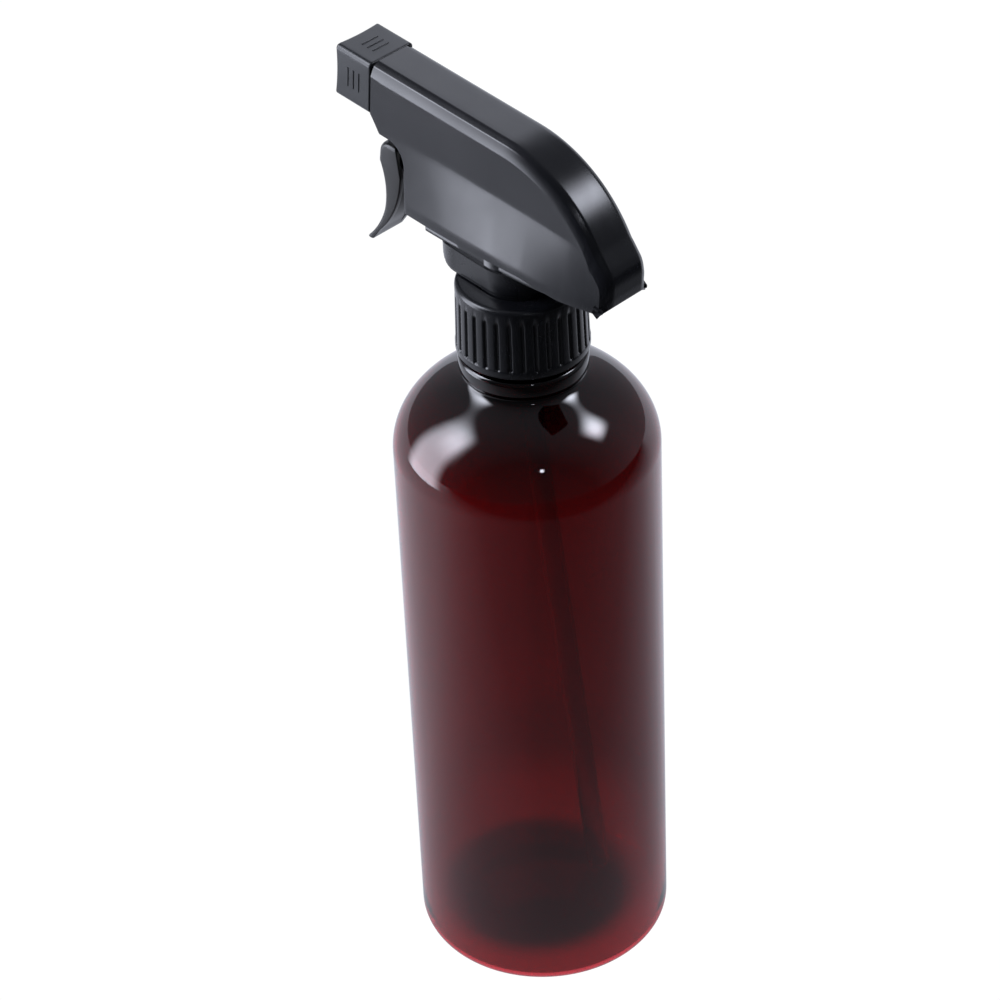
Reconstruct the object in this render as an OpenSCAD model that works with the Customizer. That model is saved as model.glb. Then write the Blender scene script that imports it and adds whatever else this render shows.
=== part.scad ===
// Trigger spray bottle: a round amber bottle with a screw-on trigger sprayer.
// Millimetres. +Z is up, the origin is the centre of the bottle's foot, and the
// nozzle points along -Y. Head pieces are drawn in a frame that leans back with the
// barrel: u runs forward to the nozzle, w runs up, and x is the sprayer's left.

/* [Bottle] */
// Radius of the bottle's body
body_r = 32.5; // [30:0.5:36]
// Height at which the body turns into the shoulder
shoulder_z = 151.2; // [120:1:170]
// Height of the shoulder's curve, from the body to the neck
shoulder_h = 23.5; // [20:0.5:26]
// Thickness of the bottle's wall
wall = 1.0; // [0.8:0.1:1.4]
// Radius of the rounded heel
heel_r = 4.3; // [3:0.1:6]
// Radius of the hollow under the bottle
punt_r = 21; // [18:0.5:24]
// Height of the hollow under the bottle
punt_h = 4; // [2:0.5:6]

/* [Neck and closure] */
// Bore of the neck, radius
neck_bore_r = 10.9; // [10.5:0.1:11.2]
// Outside of the neck under its thread, radius
neck_root_r = 12.6; // [12.4:0.1:12.8]
// Outside of the neck's thread, radius
thread_r = 13.8; // [13.6:0.1:13.9]
// Rise of the thread in one turn
thread_pitch = 4.23; // [4:0.01:4.5]
// Outside of the closure, radius
closure_r = 16.0; // [15.8:0.1:16.5]
// Number of grip ribs on the closure
grip_ribs = 32; // [24:1:48]

/* [Sprayer head] */
// Angle by which the barrel points above the horizontal
lean = 6; // [4:0.5:8]
// Half of the width of the shroud's top and upper sides
top_half_w = 7; // [6.8:0.1:7.5]
// How far the shroud's lower sides flare out beyond the upper sides
flare = 3.4; // [3:0.1:4]
// Wall of the shroud
shroud_wall = 1.3; // [1.2:0.1:1.4]
// Length of the nozzle cap along the barrel
nozzle_len = 11.6; // [11:0.1:12]

/* [Pump] */
// Bore of the pump cylinder, radius
pump_bore_r = 6; // [5.8:0.1:6]
// Radial gap between parts that slide or turn in each other
running_gap = 0.05; // [0.03:0.01:0.08]
// Outside of the dip tube, radius
dip_tube_r = 2.95; // [2.8:0.05:2.95]
// Radius of both valve balls
ball_r = 2; // [1.9:0.1:2]

/* [Hidden] */

round_fn = 96;   // facets of a large round
small_fn = 48;   // facets of a small round
eps = 0.01;      // overlap that joins two solids of one piece

// Bottle, from the foot up
shoulder_cx = -2;                       // centre of the shoulder's ellipse, from the axis
shoulder_end_r = 15;                    // where the shoulder meets the neck
bead_r = 15.7;
bead_z = [174.5, 179];
neck_top_z = 194.1;

// Closure and the flange it clamps
closure_z = [180.3, 199];
closure_bore_r = thread_r + 0.4;
closure_hole_r = 10.5;
gasket_t = 1.5;
flange_z = [neck_top_z + gasket_t, neck_top_z + gasket_t + 1.6];
flange_r = 13.4;
lip_z = flange_z[1] + 0.15;             // underside of the closure's top

// Head frame
head_z = 232.4;
nozzle_u = 40.7;                        // back of the nozzle cap
barrel_r = 4.6;
barrel_bore_r = 2.5;
valve_seat_u = 5;
spigot_r = 4.4;
spigot_end_u = 46.5;

// Pump: a cylinder below the barrel and in line with it
pump_w = -18.5;
pump_u = [1.5, 20.5];
pump_outer_r = pump_bore_r + 1.1;
chamber_u = 4;                          // back wall of the pump chamber
piston_u = [15, 19];                    // piston head at rest
rod_end_u = 31.45;
rod_r = 2.6;

// Trigger
pivot = [35.5, -8];                     // u, w
pivot_pin_r = 1.4;
trigger_half_w = 5;
nose = [33.2, pump_w];                  // round nose that pushes the piston rod
nose_r = 1.6;

// Valves
inlet_seat_z = 200;
inlet_bore_r = 1.5;
inlet_ball_z = 201.4;
riser_bore_r = 1.4;
outlet_ball_u = 6.6;

// ---------- helpers ----------

// Points of an elliptical arc about [cx, cy] from angle a0 to a1, n steps
function arc(cx, cy, rx, ry, a0, a1, n) =
    [for (i = [0:n]) let (a = a0 + (a1 - a0) * i / n) [cx + rx * cos(a), cy + ry * sin(a)]];

// Angle at which an arc about cx with radius rx passes x = r
function arc_angle(cx, rx, r) = acos((r - cx) / rx);

// Half-width of the shroud's lower edge at distance s ahead of the axis
function skirt_half_w(s) =
    top_half_w + flare * (1 - pow((s + 8) / (s < -8 ? 27 : 50), 2));

// Closed outline from a half-width function between s0 and s1, inset by d; x right, y = s
function skirt_outline(s0, s1, d, n = 24) = concat(
    [for (i = [0:n]) let (s = s0 + (s1 - s0) * i / n) [skirt_half_w(s) - d, -s]],
    [for (i = [n:-1:0]) let (s = s0 + (s1 - s0) * i / n) [-skirt_half_w(s) + d, -s]]);

// Puts children drawn in the head frame (x, -u, w) into place
module head_frame() {
    translate([0, 0, head_z]) rotate([-lean, 0, 0]) children();
}

// Extrudes a side outline drawn as (u, w) to a thickness, centred on x = 0
module side_extrude(width) {
    rotate([90, 0, -90]) linear_extrude(width, center = true) children();
}

// Cylinder along the barrel direction, from u0 to u1 at height w
module along_u(u0, u1, w, r, r2 = undef) {
    translate([0, -u0, w]) rotate([90, 0, 0])
        cylinder(h = u1 - u0, r1 = r, r2 = r2 == undef ? r : r2, $fn = small_fn);
}

// Cylinder across the head, at (u, w), half-length hl
module across(u, w, r, hl) {
    translate([-hl, -u, w]) rotate([0, 90, 0]) cylinder(h = 2 * hl, r = r, $fn = small_fn);
}

// Solid skinned over a list of closed rings that all have the same number of points
module skin(rings) {
    m = len(rings[0]);
    n = len(rings);
    points = [for (ring = rings) for (p = ring) p];
    sides = [for (i = [0:n - 2]) for (j = [0:m - 1]) let (k = (j + 1) % m)
        each [[i * m + j, i * m + k, (i + 1) * m + k],
              [i * m + j, (i + 1) * m + k, (i + 1) * m + j]]];
    first = [[for (j = [m - 1:-1:0]) j]];
    last = [[for (j = [0:m - 1]) (n - 1) * m + j]];
    polyhedron(points = points, faces = concat(sides, first, last));
}

// Screw thread: a tapered ridge from radius r0 to r1 along a helix that passes angle 0 at
// height z0; it begins at angle start and is turns long
module thread_ridge(r0, r1, z0, start, turns, base_w, top_w) {
    steps = 24;
    rings = [for (i = [0:steps * turns])
        let (a = start + i * 360 / steps,
             z = z0 + thread_pitch * a / 360,
             ends = min(1, min(i, steps * turns - i) / 2 + 0.25),
             rt = r0 + (r1 - r0) * ends)
        [for (c = [[r0, -base_w / 2], [rt, -top_w / 2], [rt, top_w / 2], [r0, base_w / 2]])
            [c[0] * cos(a), c[0] * sin(a), z + c[1]]]];
    skin(r1 > r0 ? rings : [for (ring = rings) [for (j = [3:-1:0]) ring[j]]]);
}

// Compression spring along +Z from z = 0, with closed ends
module coil_spring(mean_r, wire_r, length, turns) {
    per_turn = 20;
    sides = 8;
    steps = per_turn * turns;
    rise = length - 2 * wire_r;
    rings = [for (i = [0:steps])
        let (a = i * 360 / per_turn,
             t = i / steps,
             closed = 0.5 - 0.5 * cos(180 * t),
             z = wire_r + rise * closed)
        [for (j = [0:sides - 1]) let (b = j * 360 / sides, r = mean_r + wire_r * cos(b))
            [r * cos(a), r * sin(a), z + wire_r * sin(b)]]];
    skin(rings);
}

// ---------- bottle ----------

module bottle() {
    a_out = arc_angle(shoulder_cx, body_r - shoulder_cx, shoulder_end_r);
    a_in = arc_angle(shoulder_cx, body_r - wall - shoulder_cx, neck_bore_r);
    punt_sphere = (punt_r * punt_r + punt_h * punt_h) / (2 * punt_h);
    punt_a = asin(punt_r / punt_sphere);
    outside = concat(
        arc(0, punt_h - punt_sphere, punt_sphere, punt_sphere, 90, 90 - punt_a, 8),
        arc(body_r - heel_r, heel_r, heel_r, heel_r, -90, 0, 8),
        arc(shoulder_cx, shoulder_z, body_r - shoulder_cx, shoulder_h, 0, a_out, 20),
        [[shoulder_end_r - 0.2, bead_z[0] - 1.5], [bead_r, bead_z[0] + 0.6],
         [bead_r, bead_z[1] - 0.6], [bead_r - 0.6, bead_z[1]], [neck_root_r, bead_z[1]],
         [neck_root_r, neck_top_z - 0.4], [neck_root_r - 0.4, neck_top_z]]);
    inside = concat(
        [[neck_bore_r, neck_top_z]],
        arc(shoulder_cx, shoulder_z, body_r - wall - shoulder_cx, shoulder_h - wall,
            a_in, 0, 20),
        arc(body_r - heel_r, heel_r, heel_r - wall, heel_r - wall, 0, -90, 8),
        arc(0, punt_h - punt_sphere, punt_sphere + wall, punt_sphere + wall,
            90 - punt_a, 90, 8));
    color([0.32, 0.07, 0.03, 0.8]) {
        rotate_extrude($fn = round_fn) polygon(concat(outside, inside));
        thread_ridge(neck_root_r - 0.3, thread_r, 184, 0, 1.5, 2.2, 1.0);
    }
}

// ---------- closure and neck seals ----------

module closure() {
    h = closure_z[1] - closure_z[0];
    band = [2, 3];                  // plain bands under and over the ribs
    rib_h = 0.5;
    grip = [for (i = [0:grip_ribs - 1]) for (c = [[0, -rib_h], [0.3, 0], [0.7, 0], [1, -rib_h]])
        let (a = (i + c[0] * 0.9) * 360 / grip_ribs, r = closure_r + c[1])
        [r * cos(a), r * sin(a)]];
    color("#17181a") {
        difference() {
            union() {
                translate([0, 0, closure_z[0]])
                    cylinder(h = band[0], r = closure_r + 0.1, $fn = round_fn);
                translate([0, 0, closure_z[0] + band[0] - eps])
                    linear_extrude(h - band[0] - band[1] + 2 * eps) polygon(grip);
                translate([0, 0, closure_z[1] - band[1]])
                    cylinder(h = band[1] - 1, r = closure_r - 0.4, $fn = round_fn);
                translate([0, 0, closure_z[1] - 1 - eps])
                    cylinder(h = 1 + eps, r1 = closure_r - 0.4, r2 = closure_r - 1.4, $fn = round_fn);
            }
            translate([0, 0, closure_z[0] - 1])
                cylinder(h = lip_z - closure_z[0] + 1, r = closure_bore_r, $fn = round_fn);
            translate([0, 0, lip_z - 1]) cylinder(h = 10, r = closure_hole_r, $fn = round_fn);
        }
        thread_ridge(closure_bore_r + 0.3, thread_r - 0.7, 182.1, 10, 1.25, 2.0, 0.9);
    }
}

module closure_gasket() {
    color("#e8e6df") difference() {
        translate([0, 0, neck_top_z]) cylinder(h = gasket_t, r = 13, $fn = round_fn);
        translate([0, 0, neck_top_z - 1]) cylinder(h = gasket_t + 2, r = 7.5, $fn = round_fn);
    }
}

// ---------- suction side ----------

// Rings of a round bar of radius r along the dip tube's route: straight down out of the
// retainer, one gentle bend, then a straight run to the heel. over lengthens both ends.
function tube_rings(r, over) =
    let (top_z = 195, bend_z = 184, bend_r = 200, bend_a = 5.8, low_len = 159, sides = 24,
         stations = concat([[0, top_z + over, 0]],
             [for (i = [0:4]) let (a = bend_a * i / 4)
                 [bend_r * (1 - cos(a)), bend_z - bend_r * sin(a), a]],
             [let (run = low_len + over)
                 [bend_r * (1 - cos(bend_a)) + run * sin(bend_a),
                  bend_z - bend_r * sin(bend_a) - run * cos(bend_a), bend_a]]))
    [for (s = stations) [for (j = [0:sides - 1]) let (b = j * 360 / sides)
        [s[0] + r * cos(b) * cos(s[2]), r * sin(b), s[1] + r * cos(b) * sin(s[2])]]];

module dip_tube() {
    heading = 165.5;               // the way the tube leans, about the bottle's axis
    color([0.95, 0.9, 0.86, 0.7]) rotate([0, 0, heading]) difference() {
        skin(tube_rings(dip_tube_r, 0));
        skin(tube_rings(dip_tube_r - 0.8, 1));
    }
}

// Clamped flange, socket for the dip tube and seat for the inlet ball
module tube_retainer() {
    boss_top = 202.6;
    color("#f2f1ec") difference() {
        rotate_extrude($fn = round_fn) polygon([
            [inlet_bore_r, 195], [dip_tube_r + 0.05, 195], [dip_tube_r + 0.05, 185],
            [5, 185], [5, flange_z[0]], [flange_r, flange_z[0]], [flange_r, flange_z[1]],
            [8.5, flange_z[1]], [8.5, 199], [7, 199], [7, 200.8], [8.5, 200.8],
            [8.5, boss_top - 0.5], [8, boss_top], [3.45, boss_top],
            [inlet_bore_r, inlet_seat_z]]);
        translate([6.2, 0, flange_z[0] - 1]) cylinder(h = 10, r = 0.6, $fn = small_fn);
    }
}

module retainer_o_ring() {
    color("#101010") rotate_extrude($fn = round_fn)
        translate([7.8, 199.9]) circle(r = 0.78, $fn = small_fn);
}

module inlet_ball() {
    color("#cfe3e6") translate([0, 0, inlet_ball_z]) sphere(r = ball_r, $fn = small_fn);
}

// ---------- pump body ----------

// Plan outline of the hollow bowl that shows under the shroud, inset by d
module bowl_plan(d) {
    back_r = 10.2 - d;
    front_r = 9.2 - d;
    front_s = 12.3;
    circle(r = back_r, $fn = round_fn);
    translate([0, -front_s]) circle(r = front_r, $fn = round_fn);
    polygon([[back_r, 0], [-back_r, 0], [-front_r, -front_s], [front_r, -front_s]]);
}

module bowl() {
    bowl_top = 207.9;
    chin = concat([[-12, 199.4], [12.5, 199.4]], arc(12.5, 208.4, 9, 9, -90, 0, 10),
        [[21.5, bowl_top + 1], [-12, bowl_top + 1]]);
    intersection() {
        translate([0, 0, 199.4]) linear_extrude(bowl_top - 199.4) bowl_plan(0);
        rotate([90, 0, -90]) linear_extrude(40, center = true) polygon(chin);
    }
    translate([0, 0, 206.3]) linear_extrude(bowl_top - 206.3)
        polygon(skirt_outline(-32.5, 22.5, 0.7));
}

module pump_body() {
    ear_w = 1.4;
    ear_x = 3.6;
    color("#1b1c1e") difference() {
        union() {
            bowl();
            translate([0, 0, flange_z[1] + 0.05]) cylinder(h = 5, r = 10.2, $fn = round_fn);
            translate([0, 0, 199.4]) cylinder(h = head_z - 199.4, r = 5.2, $fn = small_fn);
            head_frame() {
                along_u(-9, nozzle_u - 1.7, 0, barrel_r);
                along_u(nozzle_u - 2, spigot_end_u, 0, spigot_r);
                along_u(pump_u[0] - 6, pump_u[1], pump_w, pump_outer_r);
                side_extrude(2) polygon([[4, -2], [22, -2], [18, pump_w + 4], [2, pump_w + 4]]);
                for (side = [-1, 1]) translate([side * (ear_x + ear_w / 2), 0, 0]) {
                    side_extrude(ear_w) polygon([[pivot[0] - 2.2, 0], [pivot[0] + 2.2, 0],
                        [pivot[0] + 2.2, pivot[1]], [pivot[0] - 2.2, pivot[1]]]);
                    across(pivot[0], pivot[1], 2.2, ear_w / 2);
                }
            }
        }
        // socket for the retainer, and the way up to the barrel
        translate([0, 0, 190]) cylinder(h = 13, r = 8.6, $fn = round_fn);
        translate([0, 0, 202]) cylinder(h = 2.8, r = 2.7, $fn = small_fn);
        translate([0, 0, 202]) cylinder(h = head_z - 202, r = riser_bore_r, $fn = small_fn);
        for (turn = [0, 90]) rotate([0, 0, turn]) translate([-2.5, -0.4, 204])
            cube([5, 0.8, 2]);
        head_frame() {
            along_u(-10, 3, 0, 2.4);
            along_u(2, valve_seat_u, 0, 1.3);
            along_u(valve_seat_u, valve_seat_u + 1.5, 0, 1.3, barrel_bore_r);
            along_u(valve_seat_u + 1.5 - eps, spigot_end_u + 1, 0, barrel_bore_r);
            along_u(chamber_u, pump_u[1] + 1, pump_w, pump_bore_r);
            along_u(-2, chamber_u + 1, pump_w, 1.1);
            across(pivot[0], pivot[1], pivot_pin_r + running_gap, 8);
        }
    }
}

module barrel_plug() {
    color("#2a2b2d") head_frame() {
        along_u(-8.9, -5.5, 0, 2.38);
        along_u(-9.8, -9.02, 0, 3.6);
        along_u(-9.1, -8.8, 0, 2.3);
    }
}

// ---------- discharge side ----------

module outlet_ball() {
    color("#cfe3e6") head_frame() translate([0, -outlet_ball_u, 0])
        sphere(r = ball_r, $fn = small_fn);
}

module outlet_spring() {
    color("silver") head_frame() translate([0, -outlet_ball_u - ball_r - 0.05, 0])
        rotate([90, 0, 0]) coil_spring(1.6, 0.25, 9.4, 7);
}

// Rod that fills the barrel; the swirl slots at its tip make the spray
module spray_core() {
    tip_u = 48.2;
    color("#eceae4") head_frame() difference() {
        union() {
            along_u(18.3, 40, 0, 1.5);
            along_u(39.5, tip_u, 0, barrel_bore_r - 0.05);
            for (u = [19.5, 30]) along_u(u, u + 2, 0, barrel_bore_r - 0.05);
        }
        for (turn = [0, 120, 240]) rotate([0, turn, 0]) {
            translate([1.9, -tip_u - 1, -0.35]) cube([2, 30, 0.7]);
            translate([0.4, -tip_u - 0.01, -0.3]) cube([3, 0.6, 0.6]);
        }
    }
}

module nozzle_seal() {
    color("#e8e6df") head_frame() difference() {
        along_u(49.3, 50.3, 0, 4.2);
        along_u(49, 51, 0, 1.2);
    }
}

// Square cap that turns on the barrel's spigot: open, shut and stream positions
module nozzle_cap() {
    half = 7;
    corner_r = 1.2;
    flat = half - corner_r;
    color("#1d1f22") head_frame() difference() {
        translate([0, -nozzle_u, 0]) rotate([90, 0, 0]) linear_extrude(nozzle_len) {
            square([2 * half, 2 * flat], center = true);
            square([2 * flat, 2 * half], center = true);
            for (x = [-flat, flat], y = [-flat, flat]) translate([x, y])
                circle(r = corner_r, $fn = small_fn);
        }
        along_u(nozzle_u - 1, 50.4, 0, spigot_r + running_gap);
        along_u(50, 53, 0, 0.4);
        along_u(51.4, 53, 0, 0.4, 1.8);
    }
}

// ---------- piston ----------

module piston() {
    head_r = pump_bore_r - 0.25;
    neck_r = head_r - 1.2;
    color("#efeee9") head_frame() {
        along_u(piston_u[0], piston_u[0] + 0.8, pump_w, head_r);
        along_u(piston_u[0] + 0.7, piston_u[1], pump_w, neck_r);
        along_u(piston_u[0] + 1.9, piston_u[0] + 2.5, pump_w, head_r);
        along_u(piston_u[1] - 0.4, piston_u[1], pump_w, head_r);
        along_u(piston_u[1] - 0.1, rod_end_u - 1, pump_w, rod_r);
        along_u(rod_end_u - 1.1, rod_end_u, pump_w, rod_r + 0.6);
    }
}

module ring_seal(u0, u1) {
    difference() {
        along_u(u0, u1, pump_w, pump_bore_r - running_gap);
        along_u(u0 - 1, u1 + 1, pump_w, pump_bore_r - 1.4);
    }
}

module piston_seal() {
    color("#202124") head_frame() ring_seal(piston_u[0] + 0.85, piston_u[0] + 1.85);
}

module vent_seal() {
    color("#202124") head_frame() ring_seal(piston_u[0] + 2.55, piston_u[1] - 0.45);
}

module return_spring() {
    color("silver") head_frame() translate([0, -chamber_u - 0.05, pump_w]) rotate([90, 0, 0])
        coil_spring(4.3, 0.45, piston_u[0] - chamber_u - 0.1, 5);
}

// ---------- trigger ----------

// Side outline of the finger lever, inset by d along its front and back
function trigger_outline(d) = concat(
    [[pivot[0] - 1.7 + d, -14.4 - d], [pivot[0] + 2.6 - d, -14.4 - d], [39.6 - d, -16.4 - d]],
    arc(59.1, -30, 21.7 + d, 21.7 + d, 153, 220, 12),
    [[43.2 - d, -44.8 + d], [41, -44.7 + d]],
    arc(61.5, -22, 29.5 - d, 29.5 - d, 219, 180, 10),
    [[33 + d, -17.6 - d]]);

module trigger() {
    cheek = 1.4;                   // wall of the lever, which is open at the back
    rib_half_h = 1.2;              // rib that backs the nose
    color("#191a1c") head_frame() {
        difference() {
            side_extrude(2 * trigger_half_w) polygon(trigger_outline(0));
            translate([0, 2.4, 0]) side_extrude(2 * (trigger_half_w - cheek))
                polygon(trigger_outline(0.4));
        }
        side_extrude(6.6) polygon([[pivot[0] - 1.7, pivot[1]], [pivot[0] + 2, pivot[1]],
            [pivot[0] + 2.9, -17], [pivot[0] + 0.8, -17]]);
        across(pivot[0], pivot[1], 2.4, 3.3);
        across(pivot[0], pivot[1], pivot_pin_r, 5.1);
        across(nose[0], nose[1], nose_r, trigger_half_w - cheek + eps);
        side_extrude(2 * rib_half_h) polygon([
            [nose[0], nose[1] - rib_half_h], [nose[0], nose[1] + rib_half_h],
            [38, nose[1] + rib_half_h], [38, nose[1] - rib_half_h]]);
    }
}

// ---------- shroud ----------

// Side outline of the shroud: flat top, long rear arc, tight turn at the tail, arch in front
function shroud_side(d) = concat(
    [[40.4 - d, 7.1 - d]],
    arc(-2, -28.9, 36 - d, 36 - d, 90, 145, 14),
    arc(-28.8, -16.6, 7.6 - d, 7.6 - d, 142, 180, 6),
    [[-36.5 + d, -19.5]]);

module shroud() {
    crease_w = -7.7;               // where the lower sides begin to flare
    edge_z = 208;                  // lower edge, level all round
    // front edge: up the arch over the finger, then under and up the chin
    front = concat([[26.7, -27.6]], arc(34.2, -16.6, 5.9, 5.9, 180, 90, 8),
        [[37.3, -10.7], [39.7, -7.4], [40.4, -6.6]]);
    color("#1a1b1d") difference() {
        union() {
            head_frame() intersection() {
                side_extrude(2 * top_half_w) polygon(concat(shroud_side(0),
                    [[-30, -19.5], [26, -19.5], [34, crease_w - 2.9], [37.3, crease_w - 3],
                     [39.7, -7.4], [40.4, -6.6]]));
                side_extrude(30) polygon(concat(shroud_side(0), [[-32, -19]], front));
            }
            intersection() {
                flared_skirt(0, crease_w, edge_z);
                head_frame() side_extrude(30) polygon(concat(shroud_side(0), [[-34, -21.2]], front));
            }
        }
        head_frame() side_extrude(2 * (top_half_w - shroud_wall))
            polygon(concat(shroud_side(shroud_wall),
                [[-34, -19], [-20, -18], [34, -18], [34, -11.9], [39.1, -11.9]]));
        intersection() {
            flared_skirt(shroud_wall, crease_w - 0.6, edge_z - 1);
            head_frame() side_extrude(30)
                polygon(concat(shroud_side(shroud_wall), [[-34.2, -30], [40, -30], [40, -5]]));
        }
        head_frame() along_u(38, 42, 0, barrel_r + 0.3);
    }
}

// Lower part of the shroud: straight at the crease and curved in plan at its lower edge
module flared_skirt(d, crease_w, edge_z) {
    hull() {
        head_frame() translate([0, 0, crease_w]) linear_extrude(0.1) polygon([
            [top_half_w - d, -41], [top_half_w - d, 36 - d],
            [-top_half_w + d, 36 - d], [-top_half_w + d, -41]]);
        translate([0, 0, edge_z]) linear_extrude(0.1) polygon(skirt_outline(-34.5 + d, 30, d));
    }
}

bottle();
closure();
closure_gasket();
dip_tube();
tube_retainer();
retainer_o_ring();
inlet_ball();
pump_body();
barrel_plug();
outlet_ball();
outlet_spring();
spray_core();
nozzle_seal();
nozzle_cap();
piston();
piston_seal();
vent_seal();
return_spring();
trigger();
shroud();
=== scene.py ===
"""Trigger spray bottle: an amber bottle with a black trigger sprayer, built over its CAD frame.

Shapes are worked out in millimetres and become metres when a mesh is made. Pieces of the
sprayer are drawn in the head frame, which leans back with the barrel: u runs forward to the
nozzle, w runs up, and x is the sprayer's left.
"""

import math

import bmesh
import bpy
import numpy as np
from bpy.props import (FloatProperty, FloatVectorProperty, IntProperty, PointerProperty,
                       StringProperty)
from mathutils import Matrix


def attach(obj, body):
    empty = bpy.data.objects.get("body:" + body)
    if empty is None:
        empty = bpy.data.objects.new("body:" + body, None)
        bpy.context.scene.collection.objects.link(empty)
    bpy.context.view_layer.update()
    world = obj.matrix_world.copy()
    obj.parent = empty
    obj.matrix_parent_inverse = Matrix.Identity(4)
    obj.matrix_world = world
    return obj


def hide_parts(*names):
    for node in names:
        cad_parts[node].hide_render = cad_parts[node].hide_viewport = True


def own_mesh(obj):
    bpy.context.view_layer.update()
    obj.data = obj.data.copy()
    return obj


bl_info = {
    "name": "Trigger spray bottle",
    "version": (1, 0, 0),
    "blender": (4, 5, 0),
    "location": "3D View > Sidebar > Spray bottle",
    "description": "Builds an amber spray bottle with a trigger sprayer over its CAD frame",
    "category": "Add Mesh",
}

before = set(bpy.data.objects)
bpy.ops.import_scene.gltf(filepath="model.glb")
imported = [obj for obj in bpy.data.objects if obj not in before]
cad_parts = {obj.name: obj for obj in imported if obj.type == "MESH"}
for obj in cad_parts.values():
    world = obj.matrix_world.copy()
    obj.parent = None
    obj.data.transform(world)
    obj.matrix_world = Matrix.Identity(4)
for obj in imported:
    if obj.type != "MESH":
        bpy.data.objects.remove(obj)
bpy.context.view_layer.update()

MM = 0.001
HEAD_Z = 232.4            # height of the barrel's axis over the bottle's axis, mm
ROUND_STEPS = 192         # columns of a turned piece
MERGE = 2e-6              # points closer than this become one, m


# ---------- colour, nodes and meshes ----------

def linear(hex_colour):
    """Linear RGBA from an sRGB hex value: each channel goes through the sRGB curve."""
    c = np.array([int(hex_colour[i:i + 2], 16) for i in (1, 3, 5)]) / 255
    c = np.where(c <= 0.04045, c / 12.92, ((c + 0.055) / 1.055) ** 2.4)
    return (*c.tolist(), 1.0)


def add(tree, kind, inputs=None, **settings):
    """Adds a node; inputs maps a socket's name or number to a value or to another socket."""
    node = tree.nodes.new(kind)
    for key, value in settings.items():
        setattr(node, key, value)
    for key, value in (inputs or {}).items():
        if isinstance(value, bpy.types.NodeSocket):
            tree.links.new(value, node.inputs[key])
        else:
            node.inputs[key].default_value = value
    return node


def new_material(name):
    """An empty node material, its tree, and the object coordinates its patterns read."""
    material = bpy.data.materials.new(name)
    material.use_nodes = True
    tree = material.node_tree
    tree.nodes.clear()
    return material, tree, add(tree, "ShaderNodeTexCoord").outputs["Object"]


def quads(rows, cols, wrap_rows=False, wrap_cols=True):
    """Faces that join neighbours on a rows x cols grid of points, numbered row by row."""
    r = np.arange(rows if wrap_rows else rows - 1)[:, None]
    c = np.arange(cols if wrap_cols else cols - 1)[None, :]
    up, side = (r + 1) % rows, (c + 1) % cols
    return np.stack([r * cols + c, r * cols + side, up * cols + side, up * cols + c],
                    -1).reshape(-1, 4)


def shell(points, wrap_rows=False, wrap_cols=True):
    """A shell (points, faces) from a grid of points of shape (rows, cols, 3)."""
    rows, cols = points.shape[:2]
    return points.reshape(-1, 3), quads(rows, cols, wrap_rows, wrap_cols)


def make_piece(name, shells, material, body, replaces=(), sharp=38.0):
    """One mesh piece from shells in mm: doubles merged, faces turned outwards, smooth-shaded
    up to the sharp angle, riding on a body."""
    starts = np.cumsum([0] + [len(points) for points, _ in shells])
    points = np.concatenate([points for points, _ in shells]) * MM
    faces = np.concatenate([faces + start for (_, faces), start in zip(shells, starts)])
    mesh = bpy.data.meshes.new(name)
    mesh.from_pydata(points.tolist(), [], faces.tolist())
    work = bmesh.new()
    work.from_mesh(mesh)
    bmesh.ops.remove_doubles(work, verts=work.verts, dist=MERGE)
    bmesh.ops.recalc_face_normals(work, faces=work.faces)
    work.to_mesh(mesh)
    work.free()
    mesh.polygons.foreach_set("use_smooth", np.ones(len(mesh.polygons), bool))
    mesh.set_sharp_from_angle(angle=math.radians(sharp))
    mesh.materials.append(material)
    piece = bpy.data.objects.new(name, mesh)
    bpy.context.scene.collection.objects.link(piece)
    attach(piece, body)
    if replaces:
        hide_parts(*replaces)
    return piece


def soften(piece, width, angle, segments=2):
    """Bevels the piece's edges that are sharper than angle, width in mm."""
    bevel = piece.modifiers.new("Edge", "BEVEL")
    bevel.width = width * MM
    bevel.segments = segments
    bevel.limit_method = "ANGLE"
    bevel.angle_limit = math.radians(angle)


# ---------- curves and shapes ----------

def lean_angle():
    """The barrel's lean above the horizontal, in radians."""
    return bpy.context.scene.spray_head.lean


def head(x, u, w):
    """World points in mm of head-frame values: a turn by the lean about X, then a lift."""
    c, s = math.cos(lean_angle()), math.sin(lean_angle())
    x, u, w = np.broadcast_arrays(x, u, w)
    return np.stack([x, -(u * c - w * s), HEAD_Z + u * s + w * c], -1)


def arc(cx, cy, rx, ry, a0, a1, n):
    """Points of an elliptical arc about (cx, cy) from a0 to a1 degrees."""
    a = np.radians(np.linspace(a0, a1, n))
    return np.stack([cx + rx * np.cos(a), cy + ry * np.sin(a)], -1)


def line(p, q, n):
    """Evenly spaced points from p up to, but not including, q."""
    t = np.linspace(0, 1, n, endpoint=False)[:, None]
    return np.array(p) * (1 - t) + np.array(q) * t


def lengths(path):
    """Length along a path at each of its points."""
    step = np.linalg.norm(np.diff(path, axis=0), axis=1)
    return np.concatenate([[0], np.cumsum(step)])


def along(path, want):
    """Points of a path (..., 2) at the wanted lengths along it."""
    return np.stack([np.interp(want, lengths(path), path[:, k]) for k in (0, 1)], -1)


def smooth(share):
    """Eases a share from 0 to 1 in and out: 3 s^2 - 2 s^3."""
    return share * share * (3 - 2 * share)


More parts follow.
